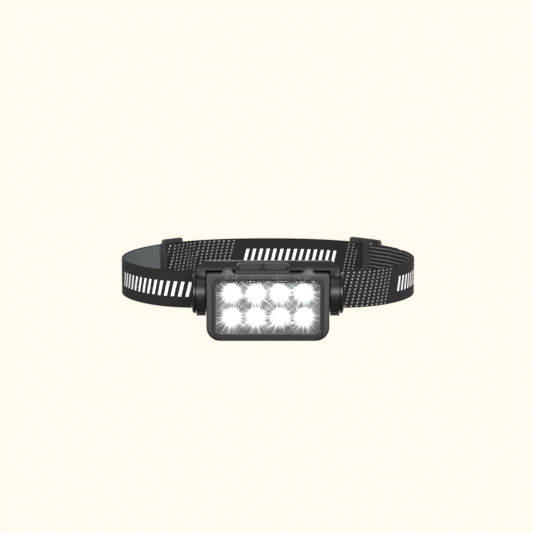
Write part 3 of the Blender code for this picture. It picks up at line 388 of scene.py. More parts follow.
# %% Finishes by node
finishes = {
    abs_housing: ["rear_housing", "pivot_left", "pivot_right"],
    abs_bezel: ["front_bezel"],
    abs_pod: ["switch_pod"],
    nylon: ["yoke", "strap_keeper"],
    nylon_cap: ["hinge_cap_left", "hinge_cap_right"],
    acetal: ["slider_left", "slider_right"],
    silicone_grey: ["button_left", "button_right"],
    silicone_black: ["lens_gasket", "port_cover"],
    clear_lens: ["front_lens"],
    metallised: ["reflector"],
    lit_package: [f"led_{n}" for n in range(1, 9)],
    mask_white: ["led_board"],
    mask_green: ["control_board", "switch_board"],
    foil: ["battery_cell"],
    knit: ["forehead_pad"],
    plated_steel: ["charging_port", "keeper_screw_left", "keeper_screw_right", "pivot_screw_left",
                   "pivot_screw_right", "tact_switch_left", "tact_switch_right"],
    blackened_steel: ["ratchet_disc_left", "ratchet_disc_right"],
}
for finish, names in finishes.items():
    for name in names:
        nodes[name].data.materials.clear()
        nodes[name].data.materials.append(finish)
print(f"{sum(len(names) for names in finishes.values())} nodes in {len(finishes)} finishes")

# %% [markdown]
# ## The strap's loop
#
# The strap is one length of 25 mm elastic webbing. Seen from above it runs straight behind
# the lamp and then along four arcs on each side, which is how it lies on a head. A place
# along it is a distance from the middle of the front, and a depth towards the head. Both
# ends pass round slider bars, so its path is a list of such places, and the webbing's
# rounded section is swept along them. A curve object with a bevel could do that too, but
# it would not give two sides with their own pattern, so the band is built ring by ring.

# %% Strap and slider sizes
WEB_WIDTH, WEB_THICK = 25 * MM, 1.5 * MM
LOOP_FLAT = 46.5 * MM
LOOP_ARCS = ((45 * MM, 45), (77 * MM, 46), (91.5 * MM, 80))
STRAP_Y = -6.85 * MM
LAYER = WEB_THICK + 0.3 * MM
FOLD_RADIUS = 2.05 * MM
FOLD_BITE = 0.6 * MM
RIGHT_LENGTH, RIGHT_CENTRE_BAR, RIGHT_SLOT = 30.5 * MM, 6.4 * MM, 3.2 * MM
LEFT_LENGTH, LEFT_CENTRE_BAR, LEFT_SLOT = 20 * MM, 3.4 * MM, 5.3 * MM
RIGHT_END_BAR = (RIGHT_LENGTH - RIGHT_CENTRE_BAR) / 2 - RIGHT_SLOT
RIGHT_TAIL, LEFT_TAIL, RAMP = 24 * MM, 13 * MM, 12 * MM
print(f"webbing {WEB_WIDTH / MM:.0f} by {WEB_THICK / MM:.1f} mm")


# %% The loop, seen from above
def loop_side(distance):
    """X, Y and heading on the right half, at a distance round from the middle of the front."""
    x, y, heading = LOOP_FLAT, STRAP_Y, 0.0
    if distance <= LOOP_FLAT:
        return distance, y, heading
    left = distance - LOOP_FLAT
    for radius, degrees in (*LOOP_ARCS, (None, 90)):
        radius = radius or x / math.sin(heading)
        turn = min(left / radius, math.radians(degrees))
        cx, cy = x - radius * math.sin(heading), y + radius * math.cos(heading)
        heading += turn
        x, y = cx + radius * math.sin(heading), cy - radius * math.cos(heading)
        left -= turn * radius
        if left < 1e-9:
            break
    return x, y, heading


def arc_start(index):
    return LOOP_FLAT + sum(r * math.radians(d) for r, d in LOOP_ARCS[:index])


last_x, _, last_heading = loop_side(arc_start(3))
HALF_LOOP = arc_start(3) + (math.pi - last_heading) * last_x / math.sin(last_heading)


def loop_point(along, depth):
    """A point of the loop, with the depth towards the head."""
    if along <= HALF_LOOP:
        x, y, heading = loop_side(along)
        return Vector((x - depth * math.sin(heading), y + depth * math.cos(heading)))
    x, y, heading = loop_side(2 * HALF_LOOP - along)
    return Vector((-x + depth * math.sin(heading), y + depth * math.cos(heading)))


print(f"strap length round the head: {2 * HALF_LOOP / MM:.0f} mm")

# %% Where the sliders and their folds sit
RIGHT_TURN, LEFT_TURN = math.radians(45), math.radians(45.5)  # how far each is round the third arc
RIGHT_SLIDER = arc_start(2) + LOOP_ARCS[2][0] * RIGHT_TURN
LEFT_SLIDER = 2 * HALF_LOOP - arc_start(2) - LOOP_ARCS[2][0] * LEFT_TURN
FRONT_BAR = RIGHT_SLIDER - (RIGHT_LENGTH - RIGHT_END_BAR) / 2
REAR_BAR = RIGHT_SLIDER + (RIGHT_LENGTH - RIGHT_END_BAR) / 2
LEFT_DEPTH = LAYER + FOLD_RADIUS
LEFT_END = LEFT_SLIDER - LEFT_LENGTH / 2
print(f"sliders at {RIGHT_SLIDER / MM:.0f} and {LEFT_SLIDER / MM:.0f} mm round from the front")


# %% Steps, ramps and folds
def eased(value, start, stop):
    t = min(1.0, max(0.0, (value - start) / (stop - start)))
    return t * t * (3 - 2 * t)


def steps(start, stop, step=1.6 * MM):
    count = max(2, math.ceil(abs(stop - start) / step))
    return [start + (stop - start) * i / count for i in range(count + 1)]


def fold(bar, bar_width, depth, towards, count=14):
    """Half a turn round a bar's edge, towards 1 or -1 along the strap."""
    centre = bar + towards * (bar_width / 2 - FOLD_BITE)
    turns = [math.pi * i / count for i in range(count + 1)]
    return [(centre + towards * FOLD_RADIUS * math.sin(a), depth - FOLD_RADIUS * math.cos(a))
            for a in turns]


# %% The webbing's two routes
def left_tail_depth(along):
    """The left tail leaves the fold at the bar and comes down to lie on the inner layer."""
    over = LEFT_DEPTH + FOLD_RADIUS
    return over - (over - 2 * LAYER) * (1 - eased(along, LEFT_END - RAMP, LEFT_END))


def main_route():
    """Sewn tail, the front run, the left side, the rear outer layer and the fold at the right slider."""
    tail = FRONT_BAR - RIGHT_TAIL
    route = [(a, 0) for a in steps(tail, FRONT_BAR)] + fold(FRONT_BAR, RIGHT_END_BAR, FOLD_RADIUS, 1)
    edge = FRONT_BAR - RIGHT_END_BAR / 2
    route += [(a, 2 * FOLD_RADIUS) for a in steps(FRONT_BAR, edge)[:-1]]
    for a in steps(edge, tail - RAMP):
        rise = eased(a, edge - RAMP, edge)
        join_up = eased(a, tail - RAMP, tail - WEB_THICK)
        route.append((a, LAYER * join_up + (2 * FOLD_RADIUS - LAYER) * rise))
    route += [(a, 0) for a in steps(tail - RAMP, 0)[1:]]
    route += [(2 * HALF_LOOP - a, 0) for a in steps(0, 2 * HALF_LOOP - REAR_BAR)[1:]]
    return route + fold(REAR_BAR, RIGHT_END_BAR, FOLD_RADIUS, -1)


def inner_route():
    """The rear inner layer, from the right slider round the left slider's bar to its tail."""
    start, edge = REAR_BAR - RIGHT_END_BAR / 2 + FOLD_BITE + 0.1 * MM, REAR_BAR + RIGHT_END_BAR / 2
    route = [(a, 2 * FOLD_RADIUS) for a in steps(start, edge)]
    for a in steps(edge, LEFT_SLIDER - LEFT_CENTRE_BAR / 2)[1:]:
        rise = 1 - eased(a, edge, edge + RAMP)
        route.append((a, LAYER + (2 * FOLD_RADIUS - LAYER) * rise))
    route += fold(LEFT_SLIDER, LEFT_CENTRE_BAR, LEFT_DEPTH, 1)
    tail = steps(LEFT_SLIDER - LEFT_CENTRE_BAR / 2, LEFT_END - LEFT_TAIL)
    return route + [(a, left_tail_depth(a)) for a in tail]


def path_of(route):
    """Plan points with the distance walked to each, without repeated points."""
    points = [loop_point(*route[0])]
    walked = [0.0]
    for along, depth in route[1:]:
        point = loop_point(along, depth)
        stride = (point - points[-1]).length
        if stride > 0.05 * MM:
            points.append(point)
            walked.append(walked[-1] + stride)
    return points, walked


main_points, main_walked = path_of(main_route())
inner_points, inner_walked = path_of(inner_route())
front_middle = min(range(len(main_points)), key=lambda i: main_points[i].length)
main_walked = [main_walked[front_middle] - w for w in main_walked]
print(f"webbing: {(main_walked[0] - main_walked[-1]) / MM:.0f} mm and {inner_walked[-1] / MM:.0f} mm")


# %% The webbing's section
def web_section():
    """Places round the webbing's section, as (out, up), from the printed side's low edge."""
    half, round_off = WEB_THICK / 2, 0.55 * MM
    across = [-WEB_WIDTH / 2 + round_off + (WEB_WIDTH - 2 * round_off) * i / 10 for i in range(11)]
    edge = [(half * math.cos(a), WEB_WIDTH / 2 - round_off + round_off * math.sin(a))
            for a in (math.radians(d) for d in (36, 72))]
    printed = [(half, z) for z in across] + edge + [(0.0, WEB_WIDTH / 2)]
    reverse = [(-half, -z) for z in across] + [(-o, -z) for o, z in edge] + [(0.0, -WEB_WIDTH / 2)]
    back_edge = [(-o, z) for o, z in reversed(edge)]
    front_edge = [(o, -z) for o, z in reversed(edge)]
    return printed + back_edge + reverse + front_edge


print(f"{len(web_section())} places round the webbing")

# %% Sweep the section along a route
REVERSE_SHIFT = 0.1  # the reverse side's pattern lies 100 mm higher in the UV map


def webbing(name, points, walked, printed_side, both_sides_from=None):
    """Sweeps the section. printed_side is 1 or -1: the side of the walk the print faces.

    Past both_sides_from the strap has folded back over itself, so both sides show the print, and
    the distance is counted backwards to carry on the pattern of the layer that it lies on.
    """
    ring = web_section()
    bm = bmesh.new()
    uv = bm.loops.layers.uv.new("webbing")
    rows = []
    for i, point in enumerate(points):
        before, after = points[max(0, i - 1)], points[min(len(points) - 1, i + 1)]
        ahead = (after - before).normalized()
        side = Vector((ahead.y, -ahead.x)) * printed_side
        rows.append([bm.verts.new((*(point + side * out), up)) for out, up in ring])
    printed_last = 13  # ring places 0 to 13 belong to the printed side
    told = [w if both_sides_from is None or w < both_sides_from else 2 * both_sides_from - w
            for w in walked]
    for i in range(len(rows) - 1):
        for j in range(len(ring)):
            k = (j + 1) % len(ring)
            face = bm.faces.new((rows[i][j], rows[i][k], rows[i + 1][k], rows[i + 1][j]))
            face.smooth = True
            printed = j < printed_last or j >= len(ring) - 2
            if both_sides_from is not None and walked[i] >= both_sides_from:
                printed = True
            for loop, (at, place) in zip(face.loops, ((i, j), (i, k), (i + 1, k), (i + 1, j))):
                loop[uv].uv = (told[at], ring[place][1] + (0 if printed else REVERSE_SHIFT))
    for row, at in ((rows[0], told[0]), (rows[-1], told[-1])):
        face = bm.faces.new(row)
        for loop in face.loops:
            loop[uv].uv = (at, WEB_WIDTH / 2)
    bmesh.ops.recalc_face_normals(bm, faces=bm.faces)
    mesh = bpy.data.meshes.new(name)
    bm.to_mesh(mesh)
    bm.free()
    print(f"{name}: {len(mesh.polygons)} faces")
    return placed(name, mesh)


# %% The two bands
webbing_main = webbing("webbing_main", main_points, main_walked, -1)
fold_x = loop_point(LEFT_SLIDER, 0).x + 2 * MM
inner_fold = next(w for p, w in zip(inner_points, inner_walked) if p.x < fold_x)
webbing_inner = webbing("webbing_inner", inner_points, inner_walked, -1, inner_fold)

# %% [markdown]
# ## Jacquard webbing
#
# The strap is woven on a narrow jacquard loom: black polyester over rubber cords, with
# light yarn lifted to the face where the pattern wants it. The face carries fields of small
# dots in leaning columns, and between them a row of slanted bars. Yarn that isn't on the
# face floats on the reverse, so that side shows grey with dark dots, or dashed stripes. The
# pattern follows the band through its own UV map, whose unit is a metre of webbing. The
# yarns are about 0.4 mm apart, and the relief is drawn at 0.8 mm so that it shows.

# %% Pattern helpers
DOT_ROW, DOT_COLUMN, DOT_RADIUS, DOT_SHIFT = 2.25 * MM, 3.75 * MM, 0.5 * MM, 0.125 * MM
LEAN = math.tan(math.radians(14))
BAR_PITCH, BAR_WIDTH, BAR_HEIGHT = 5.07 * MM, 2.2 * MM, 10 * MM
DASH_PITCH, DASH_LENGTH = 1.7 * MM, 1.24 * MM
STRIPE_PITCH, STRIPE_WIDTH = 2.75 * MM, 1 * MM
SELVEDGE_INNER, SELVEDGE_OUTER = 11.7 * MM, 12.2 * MM
YARN_DRAWN = 0.8 * MM


def in_range(tree, value, low, high):
    """1 where low < value < high."""
    over = add(tree, "ShaderNodeMath", {0: value, 1: low}, operation="GREATER_THAN")
    under = add(tree, "ShaderNodeMath", {0: value, 1: high}, operation="LESS_THAN")
    return add(tree, "ShaderNodeMath", {0: over, 1: under}, operation="MULTIPLY")


def either(tree, masks):
    found = masks[0]
    for mask in masks[1:]:
        found = add(tree, "ShaderNodeMath", {0: found, 1: mask}, operation="MAXIMUM")
    return found


def repeat(tree, value, pitch, start=0.0):
    """Distance from the middle of each step of a repeat."""
    shifted = add(tree, "ShaderNodeMath", {0: value, 1: start}, operation="SUBTRACT")
    step = add(tree, "ShaderNodeMath", {0: shifted, 1: pitch}, operation="FLOORED_MODULO")
    return add(tree, "ShaderNodeMath", {0: step, 1: pitch / 2}, operation="SUBTRACT")


def near_middle(tree, value, pitch, width, start=0.0):
    """1 within half a width of the middle of each step of a repeat."""
    place = repeat(tree, value, pitch, start)
    place = add(tree, "ShaderNodeMath", {0: place}, operation="ABSOLUTE")
    return add(tree, "ShaderNodeMath", {0: place, 1: width / 2}, operation="LESS_THAN")


print(f"dots {DOT_COLUMN / MM} by {DOT_ROW / MM} mm, bars every {BAR_PITCH / MM:.2f} mm")


# %% The printed side and its reverse
def dots_and_bars(tree, leaning, up, height, dots, bars):
    """A dot at every place of the grid, and the masks of the dot fields and of the bars."""
    column = repeat(tree, leaning, DOT_COLUMN)
    row = repeat(tree, up, DOT_ROW, -WEB_WIDTH / 2 + DOT_SHIFT)
    offset = add(tree, "ShaderNodeCombineXYZ", {"X": column, "Y": row})
    from_dot = add(tree, "ShaderNodeVectorMath", {0: offset}, "Value", operation="LENGTH")
    dot = add(tree, "ShaderNodeMapRange",
              {"Value": from_dot, "From Min": DOT_RADIUS * 0.8, "From Max": DOT_RADIUS * 1.25,
               "To Min": 1.0, "To Max": 0.0})
    fields = either(tree, [in_range(tree, leaning, *pair) for pair in dots])
    dot_mask = add(tree, "ShaderNodeMath", {0: dot, 1: fields}, operation="MULTIPLY")

    bar_masks = []
    for start, stop in bars:
        near = near_middle(tree, leaning, BAR_PITCH, BAR_WIDTH, start)
        run = in_range(tree, leaning, start, stop)
        bar_masks.append(add(tree, "ShaderNodeMath", {0: near, 1: run}, operation="MULTIPLY"))
    band = add(tree, "ShaderNodeMath", {0: height, 1: BAR_HEIGHT / 2}, operation="LESS_THAN")
    bar_mask = add(tree, "ShaderNodeMath", {0: either(tree, bar_masks), 1: band}, operation="MULTIPLY")
    return dot, dot_mask, bar_mask


def reverse_side(tree, along, up, cloth, dot, grey, stripes):
    """Plain cloth, with grey under dark dots in some runs and dashed stripes in others."""
    grey_cloth = layered(tree, linear("5C6265"), (linear("2F3436"), dot))
    dash = near_middle(tree, along, DASH_PITCH, DASH_LENGTH)
    line = near_middle(tree, up, STRIPE_PITCH, STRIPE_WIDTH, -WEB_WIDTH / 2)
    dashes = add(tree, "ShaderNodeMath", {0: dash, 1: line}, operation="MULTIPLY")
    striped = layered(tree, linear("19191A"), (linear("6A6B6C"), dashes))
    for colour, stretches in ((grey_cloth, grey), (striped, stripes)):
        if stretches:
            mask = either(tree, [in_range(tree, along, *pair) for pair in stretches])
            cloth = layered(tree, cloth, (colour, mask))
    return cloth


# %% Webbing finish
def jacquard(name, lean, dots, bars, grey, stripes):
    """dots, bars, grey and stripes are lists of (from, to) along the webbing."""
    made, tree, shader, _ = start_finish(
        name, Roughness=0.95, Specular_IOR_Level=0.2, Sheen_Weight=0.04, Sheen_Roughness=0.5)
    uv = add(tree, "ShaderNodeUVMap", uv_map="webbing")
    along = add(tree, "ShaderNodeSeparateXYZ", {"Vector": uv}, "X")
    raw = along.node.outputs["Y"]
    reverse = add(tree, "ShaderNodeMath", {0: raw, 1: REVERSE_SHIFT / 2}, operation="GREATER_THAN")
    shift = add(tree, "ShaderNodeMath", {0: reverse, 1: REVERSE_SHIFT}, operation="MULTIPLY")
    up = add(tree, "ShaderNodeMath", {0: raw, 1: shift}, operation="SUBTRACT")
    height = add(tree, "ShaderNodeMath", {0: up}, operation="ABSOLUTE")
    tip = add(tree, "ShaderNodeMath", {0: up, 1: lean * LEAN}, operation="MULTIPLY")
    leaning = add(tree, "ShaderNodeMath", {0: along, 1: tip}, operation="SUBTRACT")

    yarn = add(tree, "ShaderNodeTexNoise", {"Vector": uv, "Scale": 1 / (1.1 * MM), "Detail": 2.0})
    cloth = layered(tree, linear("1B1B1C"), (linear("252526"), yarn))
    dot, dot_mask, bar_mask = dots_and_bars(tree, leaning, up, height, dots, bars)
    back = reverse_side(tree, along, up, cloth, dot, grey, stripes)
    selvedge = add(tree, "ShaderNodeMapRange",
                   {"Value": height, "From Min": SELVEDGE_INNER, "From Max": SELVEDGE_OUTER})
    colour = layered(tree, cloth, (linear("A4A4A4"), dot_mask), (linear("FAFAF8"), bar_mask),
                     (back, reverse), (linear("0E0E0F"), selvedge))
    tree.links.new(colour, shader.inputs["Base Color"])

    waves = []
    for across in (up, along):
        turn = add(tree, "ShaderNodeMath", {0: across, 1: 2 * math.pi / YARN_DRAWN}, operation="MULTIPLY")
        waves.append(add(tree, "ShaderNodeMath", {0: turn}, operation="SINE"))
    weave = add(tree, "ShaderNodeMath", {0: waves[0], 1: waves[1]}, operation="MULTIPLY")
    relief = add(tree, "ShaderNodeBump", {"Height": weave, "Strength": 0.5, "Distance": 0.1 * MM})
    tree.links.new(relief, shader.inputs["Normal"])
    return made


# %% The strap's two runs
BAR_RUN = 71 * MM


def walked_at(x):
    """Distance walked along the inner layer's back run to the place with this X."""
    return min((abs(p.x - x), w) for p, w in zip(inner_points, inner_walked) if w < inner_fold)[1]


def runs(*pairs):
    return [(start * MM, stop * MM) for start, stop in pairs]


web_outer = jacquard(
    "Jacquard elastic webbing, outer run", 1,
    dots=runs((38, 86), (171, 216), (-172, -127), (-300, -256), (-372, -355)),
    bars=runs((94.7, 165.7), (-121, -50), (-249, -178), (-349, -306)),
    grey=runs((-240, -90)), stripes=runs((90, 215)))
bars_from = walked_at(51 * MM)
web_inner = jacquard(
    "Jacquard elastic webbing, inner run", -1,
    dots=[(-10 * MM, walked_at(56 * MM)), (walked_at(-26 * MM), inner_walked[-1] + 10 * MM)],
    bars=[(bars_from, bars_from + BAR_RUN)], grey=[(0, inner_walked[-1])], stripes=[])
webbing_main.data.materials.append(web_outer)
webbing_inner.data.materials.append(web_inner)
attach(webbing_main, "yoke_and_strap")
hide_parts("strap_front", "strap_rear")
slider_back = loop_point(LEFT_END, LAYER)
arc_end = loop_point(2 * HALF_LOOP - arc_start(3), LAYER)
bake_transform(webbing_inner)
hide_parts("strap_sewn_end")
print(f"{web_outer.name} and {web_inner.name}")

# %% [markdown]
# ## Softening the moulded solids
#
# A moulded edge is never sharp: the tool leaves a radius of 0.2 to 0.6 mm, and that thin
# curved line is what catches the light. The frame's own meshes stay as they are, so each of
# these pieces starts from a welded copy of its solid, with the flat triangles merged, and a
# bevel that only takes the edges that turn by more than 30 degrees.


def keep(name, bm, finish, smooth=35):
    mesh = bpy.data.meshes.new(name)
    bm.to_mesh(mesh)
    bm.free()
    mesh.materials.append(finish)
    mesh.shade_smooth()
    mesh.set_sharp_from_angle(angle=math.radians(smooth))
    return placed(name, mesh)


def bridge(bm, rows):
    """Faces between each closed ring of points and the next."""
    return [bm.faces.new((one[i], one[(i + 1) % len(one)], other[(i + 1) % len(one)], other[i]))
            for one, other in zip(rows, rows[1:]) for i in range(len(one))]


def settle(piece, body, finish, *replaced):
    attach(piece, body)
    if replaced:
        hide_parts(*replaced)
    print(f"{piece.name}: {len(piece.data.polygons)} faces on {body}")
    return piece


def softened(node, width, segments=2):
    source = nodes[node]
    bm = bmesh.new()
    bm.from_mesh(source.data)
    bmesh.ops.remove_doubles(bm, verts=bm.verts, dist=0.002 * MM)
    bmesh.ops.dissolve_limit(bm, angle_limit=math.radians(0.6), verts=bm.verts, edges=bm.edges)
    made = keep(f"{node}_moulded", bm, source.data.materials[0])
    bevel = made.modifiers.new("mould radius", "BEVEL")
    bevel.width, bevel.segments = width, segments
    bevel.angle_limit = math.radians(30)
    bevel.harden_normals = True
    return settle(made, source["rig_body"], source.data.materials[0], node)


for node, width in (("yoke", 0.55 * MM), ("strap_keeper", 0.35 * MM), ("rear_housing", 0.4 * MM),
                    ("switch_pod", 0.3 * MM), ("hinge_cap_left", 0.3 * MM), ("hinge_cap_right", 0.3 * MM),
                    ("port_cover", 0.2 * MM)):
    softened(node, width)

# %% [markdown]
# ## The hood's rear bead
#
# A thin pale line runs along the hood's rear edge. It is taken to be a raised bead, and its colour,
# paler than the rest, is a painted highlight. It is a half-round section swept straight across, with its
# ends pulled down into the hood.

# %% Bead along the hood
# Painted highlight: the bead's pale colour stands in for the light caught along the hood's rear edge.
nylon_painted_highlight = moulded("Glass-filled nylon, painted highlight", "77787A", "858688", 0.32, 0.3 * MM, 0.2)
BEAD_END, BEAD_HALF_WIDTH, BEAD_HEIGHT = 41.6 * MM, 0.49 * MM, 0.455 * MM
BEAD_INWARDS, BEAD_UNDER = 1.3 * MM, 0.45 * MM  # its middle line, from the hood's rear edge and its top
tapers = ((0.0, 0.5 * MM), (0.6 * MM, 0.12 * MM), (1.6 * MM, 0.0))  # distance from its end, and drop
low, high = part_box("yoke")
stations = [(side * (BEAD_END - inwards), drop) for side, taper in ((-1, tapers), (1, tapers[::-1]))
            for inwards, drop in taper]
turns = [math.pi * i / 8 for i in range(9)]
bm = bmesh.new()
rows = [[bm.verts.new((x, high.y - BEAD_INWARDS - BEAD_HALF_WIDTH * math.cos(a),
                       high.z - BEAD_UNDER - drop + BEAD_HEIGHT * math.sin(a))) for a in turns]
        for x, drop in stations]
bridge(bm, rows)
bm.faces.new(rows[0])
bm.faces.new(rows[-1])
bmesh.ops.recalc_face_normals(bm, faces=bm.faces)
settle(keep("hood_bead", bm, nylon_painted_highlight, 60), "yoke_and_strap", nylon_painted_highlight)

# %% [markdown]
# ## Lofting round a window
#
# The bezel, the seal and the lens all follow a rounded rectangle, and their edges change
# round it. Rings of equal point count, each with its own inset and depth, can be joined face
# by face into one closed skin, so the radius at every edge is set one by one. The bezel's lower
# front edge has a wide radius that turns its lower rim into shade, and its top edge a small one.
# Its finish adds painted shade to that lower rim as well.


# %% Rings and skins
def ring(width, height, low, high, z, inset=0.0, count=10):
    """Rounded rectangle in X and Z with its corners' radii, shrunk by an inset.

    The inset is a length, or a function of the height of a corner's middle.
    """
    points = []
    corners = ((1, -1, low, -90), (1, 1, high, 0), (-1, 1, high, 90), (-1, -1, low, 180))
    for sx, sz, radius, start in corners:
        cx, cz = sx * (width / 2 - radius), z + sz * (height / 2 - radius)
        for i in range(count + 1):
            a = math.radians(start + 90 * i / count)
            cut = inset(cz) if callable(inset) else inset
            reach = radius - cut
            points.append((cx + reach * math.cos(a), cz + reach * math.sin(a)))
    return points


def skin(rings, closed=False):
    """Joins rings of (x, z) points at their depths. closed joins the last to the first."""
    bm = bmesh.new()
    rows = [[bm.verts.new((x, depth(z) if callable(depth) else depth, z)) for x, z in points]
            for points, depth in rings]
    bridge(bm, rows + rows[:1] if closed else rows)
    if not closed:
        bm.faces.new(rows[0])
        bm.faces.new(rows[-1])
    bmesh.ops.recalc_face_normals(bm, faces=bm.faces)
    return bm


# %% Sizes of the bezel and its window
low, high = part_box("front_bezel")
BEZEL_FRONT, BEZEL_REAR = low.y, high.y
BEZEL_WIDTH, BEZEL_LOW, BEZEL_TOP = high.x - low.x, low.z, low.z + 44.5 * MM  # without its two ribs
BEZEL_HEIGHT, BEZEL_Z = BEZEL_TOP - BEZEL_LOW, (BEZEL_TOP + BEZEL_LOW) / 2
LOW_CORNER, TOP_CORNER, REAR_EDGE = 9 * MM, 2 * MM, 0.3 * MM
low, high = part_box("front_lens")
LENS_FRONT, LENS_REAR = low.y, high.y
WINDOW_WIDTH, WINDOW_HEIGHT = high.x - low.x + 0.6 * MM, high.z - low.z + 0.6 * MM
WINDOW_Z, WINDOW_CORNER = (high.z + low.z) / 2, 5.5 * MM
EDGE_TOP, EDGE_MORE, EDGE_FROM, EDGE_OVER = 0.8 * MM, 1.4 * MM, 4 * MM, 26 * MM
print(f"window {WINDOW_WIDTH / MM:.1f} by {WINDOW_HEIGHT / MM:.1f} mm")


# %% Rings that follow the bezel and the window
def window(inset):
    return ring(WINDOW_WIDTH, WINDOW_HEIGHT, WINDOW_CORNER, WINDOW_CORNER, WINDOW_Z, inset)


def stepped(front, steps_in):
    """Rings round the window from (inset, depth behind a front) pairs in millimetres."""
    return [(window(inset * MM), front + depth * MM) for inset, depth in steps_in]


def edge_radius(z):
    """The bezel's front radius: small at the top, and wider over the height below EDGE_FROM."""
    return EDGE_TOP + EDGE_MORE * min(1, max(0, (EDGE_FROM - z) / EDGE_OVER))


def bezel_ring(turn):
    outline = ring(BEZEL_WIDTH, BEZEL_HEIGHT, LOW_CORNER, TOP_CORNER, BEZEL_Z,
                   lambda z: edge_radius(z) * (1 - math.cos(turn)))
    return outline, lambda z: BEZEL_FRONT + edge_radius(z) * (1 - math.sin(turn))


# %% Bezel
RIB_X = 26.2 * MM
RIB_HALF = ((2.1, 3.1), (2.6, 2.6), (3.4, 1.0), (4.3, 0.1), (5.6, -0.6))
RIB_ENDS = ((0.25, 0.1), (0.0, 0.35), (0.0, 5.6), (0.25, 5.9))  # how much less, and how far back, in mm
rear = ring(BEZEL_WIDTH, BEZEL_HEIGHT, LOW_CORNER, TOP_CORNER, BEZEL_Z, REAR_EDGE)
side = ring(BEZEL_WIDTH, BEZEL_HEIGHT, LOW_CORNER, TOP_CORNER, BEZEL_Z)
profile = [(rear, BEZEL_REAR), (side, BEZEL_REAR - REAR_EDGE)]
profile += [bezel_ring(math.pi / 2 * i / 6) for i in range(7)]
profile += stepped(BEZEL_FRONT, ((-1.4, 0), (-1.05, 0.1), (-0.9, 0.4), (-0.9, 1.2), (0, 1.2)))
profile += [(window(0), BEZEL_REAR)]
bm = skin(profile, closed=True)
rib = [(-x, z) for x, z in reversed(RIB_HALF)] + list(RIB_HALF)
for rib_x in (-RIB_X, RIB_X):
    rows = [[bm.verts.new((rib_x + x * MM * (1 - less / 5), BEZEL_FRONT + back * MM,
                           BEZEL_TOP + (z - (less if z > 0.5 else 0)) * MM)) for x, z in rib]
            for less, back in RIB_ENDS]
    faces = [bm.faces.new(rows[0]), bm.faces.new(rows[-1])] + bridge(bm, rows)
    bmesh.ops.recalc_face_normals(bm, faces=faces)
settle(keep("bezel_shell", bm, abs_bezel, 50), "lamp_head", abs_bezel, "front_bezel")

# %% [markdown]
# ## Seal, lens and the reflector's rim
#
# A black seal shows as a dark line inside the bezel. Inside it lies the lens, and behind the
# lens the reflector's raised rim, whose finish gives off a faint painted glow for the light inside, so it
# reads as a pale line.

# %% Seal, lens and rim
seal = skin(stepped(LENS_FRONT, (
    (-0.85, 0.6), (-0.85, -0.02), (-0.5, -0.14), (0.1, -0.18), (0.5, -0.18), (0.8, -0.04),
    (0.8, -0.01), (0.05, 0.02), (0.05, 0.6))), closed=True)
settle(keep("lens_seal", seal, silicone_black), "lamp_head", silicone_black)
pane = skin([(window(0.9 * MM), LENS_REAR), (window(0.35 * MM), LENS_REAR)]
            + stepped(LENS_FRONT, ((0.3, 0.3), (0.7, 0.02), (1.4, 0))))
settle(keep("lens_pane", pane, clear_lens), "lamp_head", clear_lens, "front_lens")
rim_lit, tree, shader, place = start_finish("Reflector rim, lit", Metallic=1.0, Roughness=0.35)
shader.inputs["Base Color"].default_value = linear("8E9093")
# Painted glow: the rim gives off a little light of its own, uneven along it.
shader.inputs["Emission Color"].default_value = linear("F4F6F8")
uneven = add(tree, "ShaderNodeTexNoise", {"Vector": place, "Scale": 1 / (6 * MM)})
gleam = add(tree, "ShaderNodeMapRange", {"Value": uneven, "To Min": 0.05, "To Max": 0.28})
tree.links.new(gleam, shader.inputs["Emission Strength"])
low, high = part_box("reflector")
REFLECTOR_FRONT, REFLECTOR_REAR = low.y, high.y
rim = skin(stepped(REFLECTOR_FRONT, ((1.0, 0), (1.0, -0.5), (1.25, -0.65), (1.8, -0.65), (2.2, -0.02))),
           closed=True)
settle(keep("reflector_rim", rim, rim_lit), "lamp_head", rim_lit)

# %% [markdown]
# ## Fluted reflector
#
# Each LED sits at the bottom of a bowl whose wall is pressed into 32 shallow flutes, which
# spread the beam. The plate's faces are filled outlines with a hole for each bowl, and each
# bowl is a stack of rings whose first and last land on the holes' points and weld to them.

# %% Flat outlines with holes
def filled(name, loops, thick=0.0, edge=0.0):
    """Closed outlines in X and Y, filled between them, as a mesh. edge rounds a thick one."""
    curve = bpy.data.curves.new(name, "CURVE")
    curve.dimensions, curve.fill_mode = "2D", "BOTH"
    curve.extrude, curve.bevel_depth, curve.bevel_resolution = thick / 2 - edge, edge, 2
    for points in loops:
        spline = curve.splines.new("POLY")
        spline.points.add(len(points) - 1)
        for point, (x, y) in zip(spline.points, points):
            point.co = (x, y, 0, 1)
        spline.use_cyclic_u = True
    holder = placed(name, curve)
    mesh = bpy.data.meshes.new_from_object(holder.evaluated_get(bpy.context.evaluated_depsgraph_get()))
    bpy.data.objects.remove(holder)
    return mesh


# %% Reflector with bowls
CUP_FRONT, CUP_REAR, CUP_POINTS, CUP_RINGS = 7.3 * MM, 4 * MM, 64, 6
FLUTE = 0.018  # how far a flute goes in or out, as a share of the bowl's radius


def circle(centre, radius):
    turns = [2 * math.pi * i / CUP_POINTS for i in range(CUP_POINTS)]
    return [(centre.x + radius * math.cos(a), centre.z + radius * math.sin(a)) for a in turns]


def plate(outline, radius, depth):
    """A face of the reflector, with a round hole at each LED."""
    mesh = filled("fill", [outline] + [circle(centre, radius) for centre in led_places])
    for vertex in mesh.vertices:
        vertex.co = (vertex.co.x, depth, vertex.co.y)
    return mesh


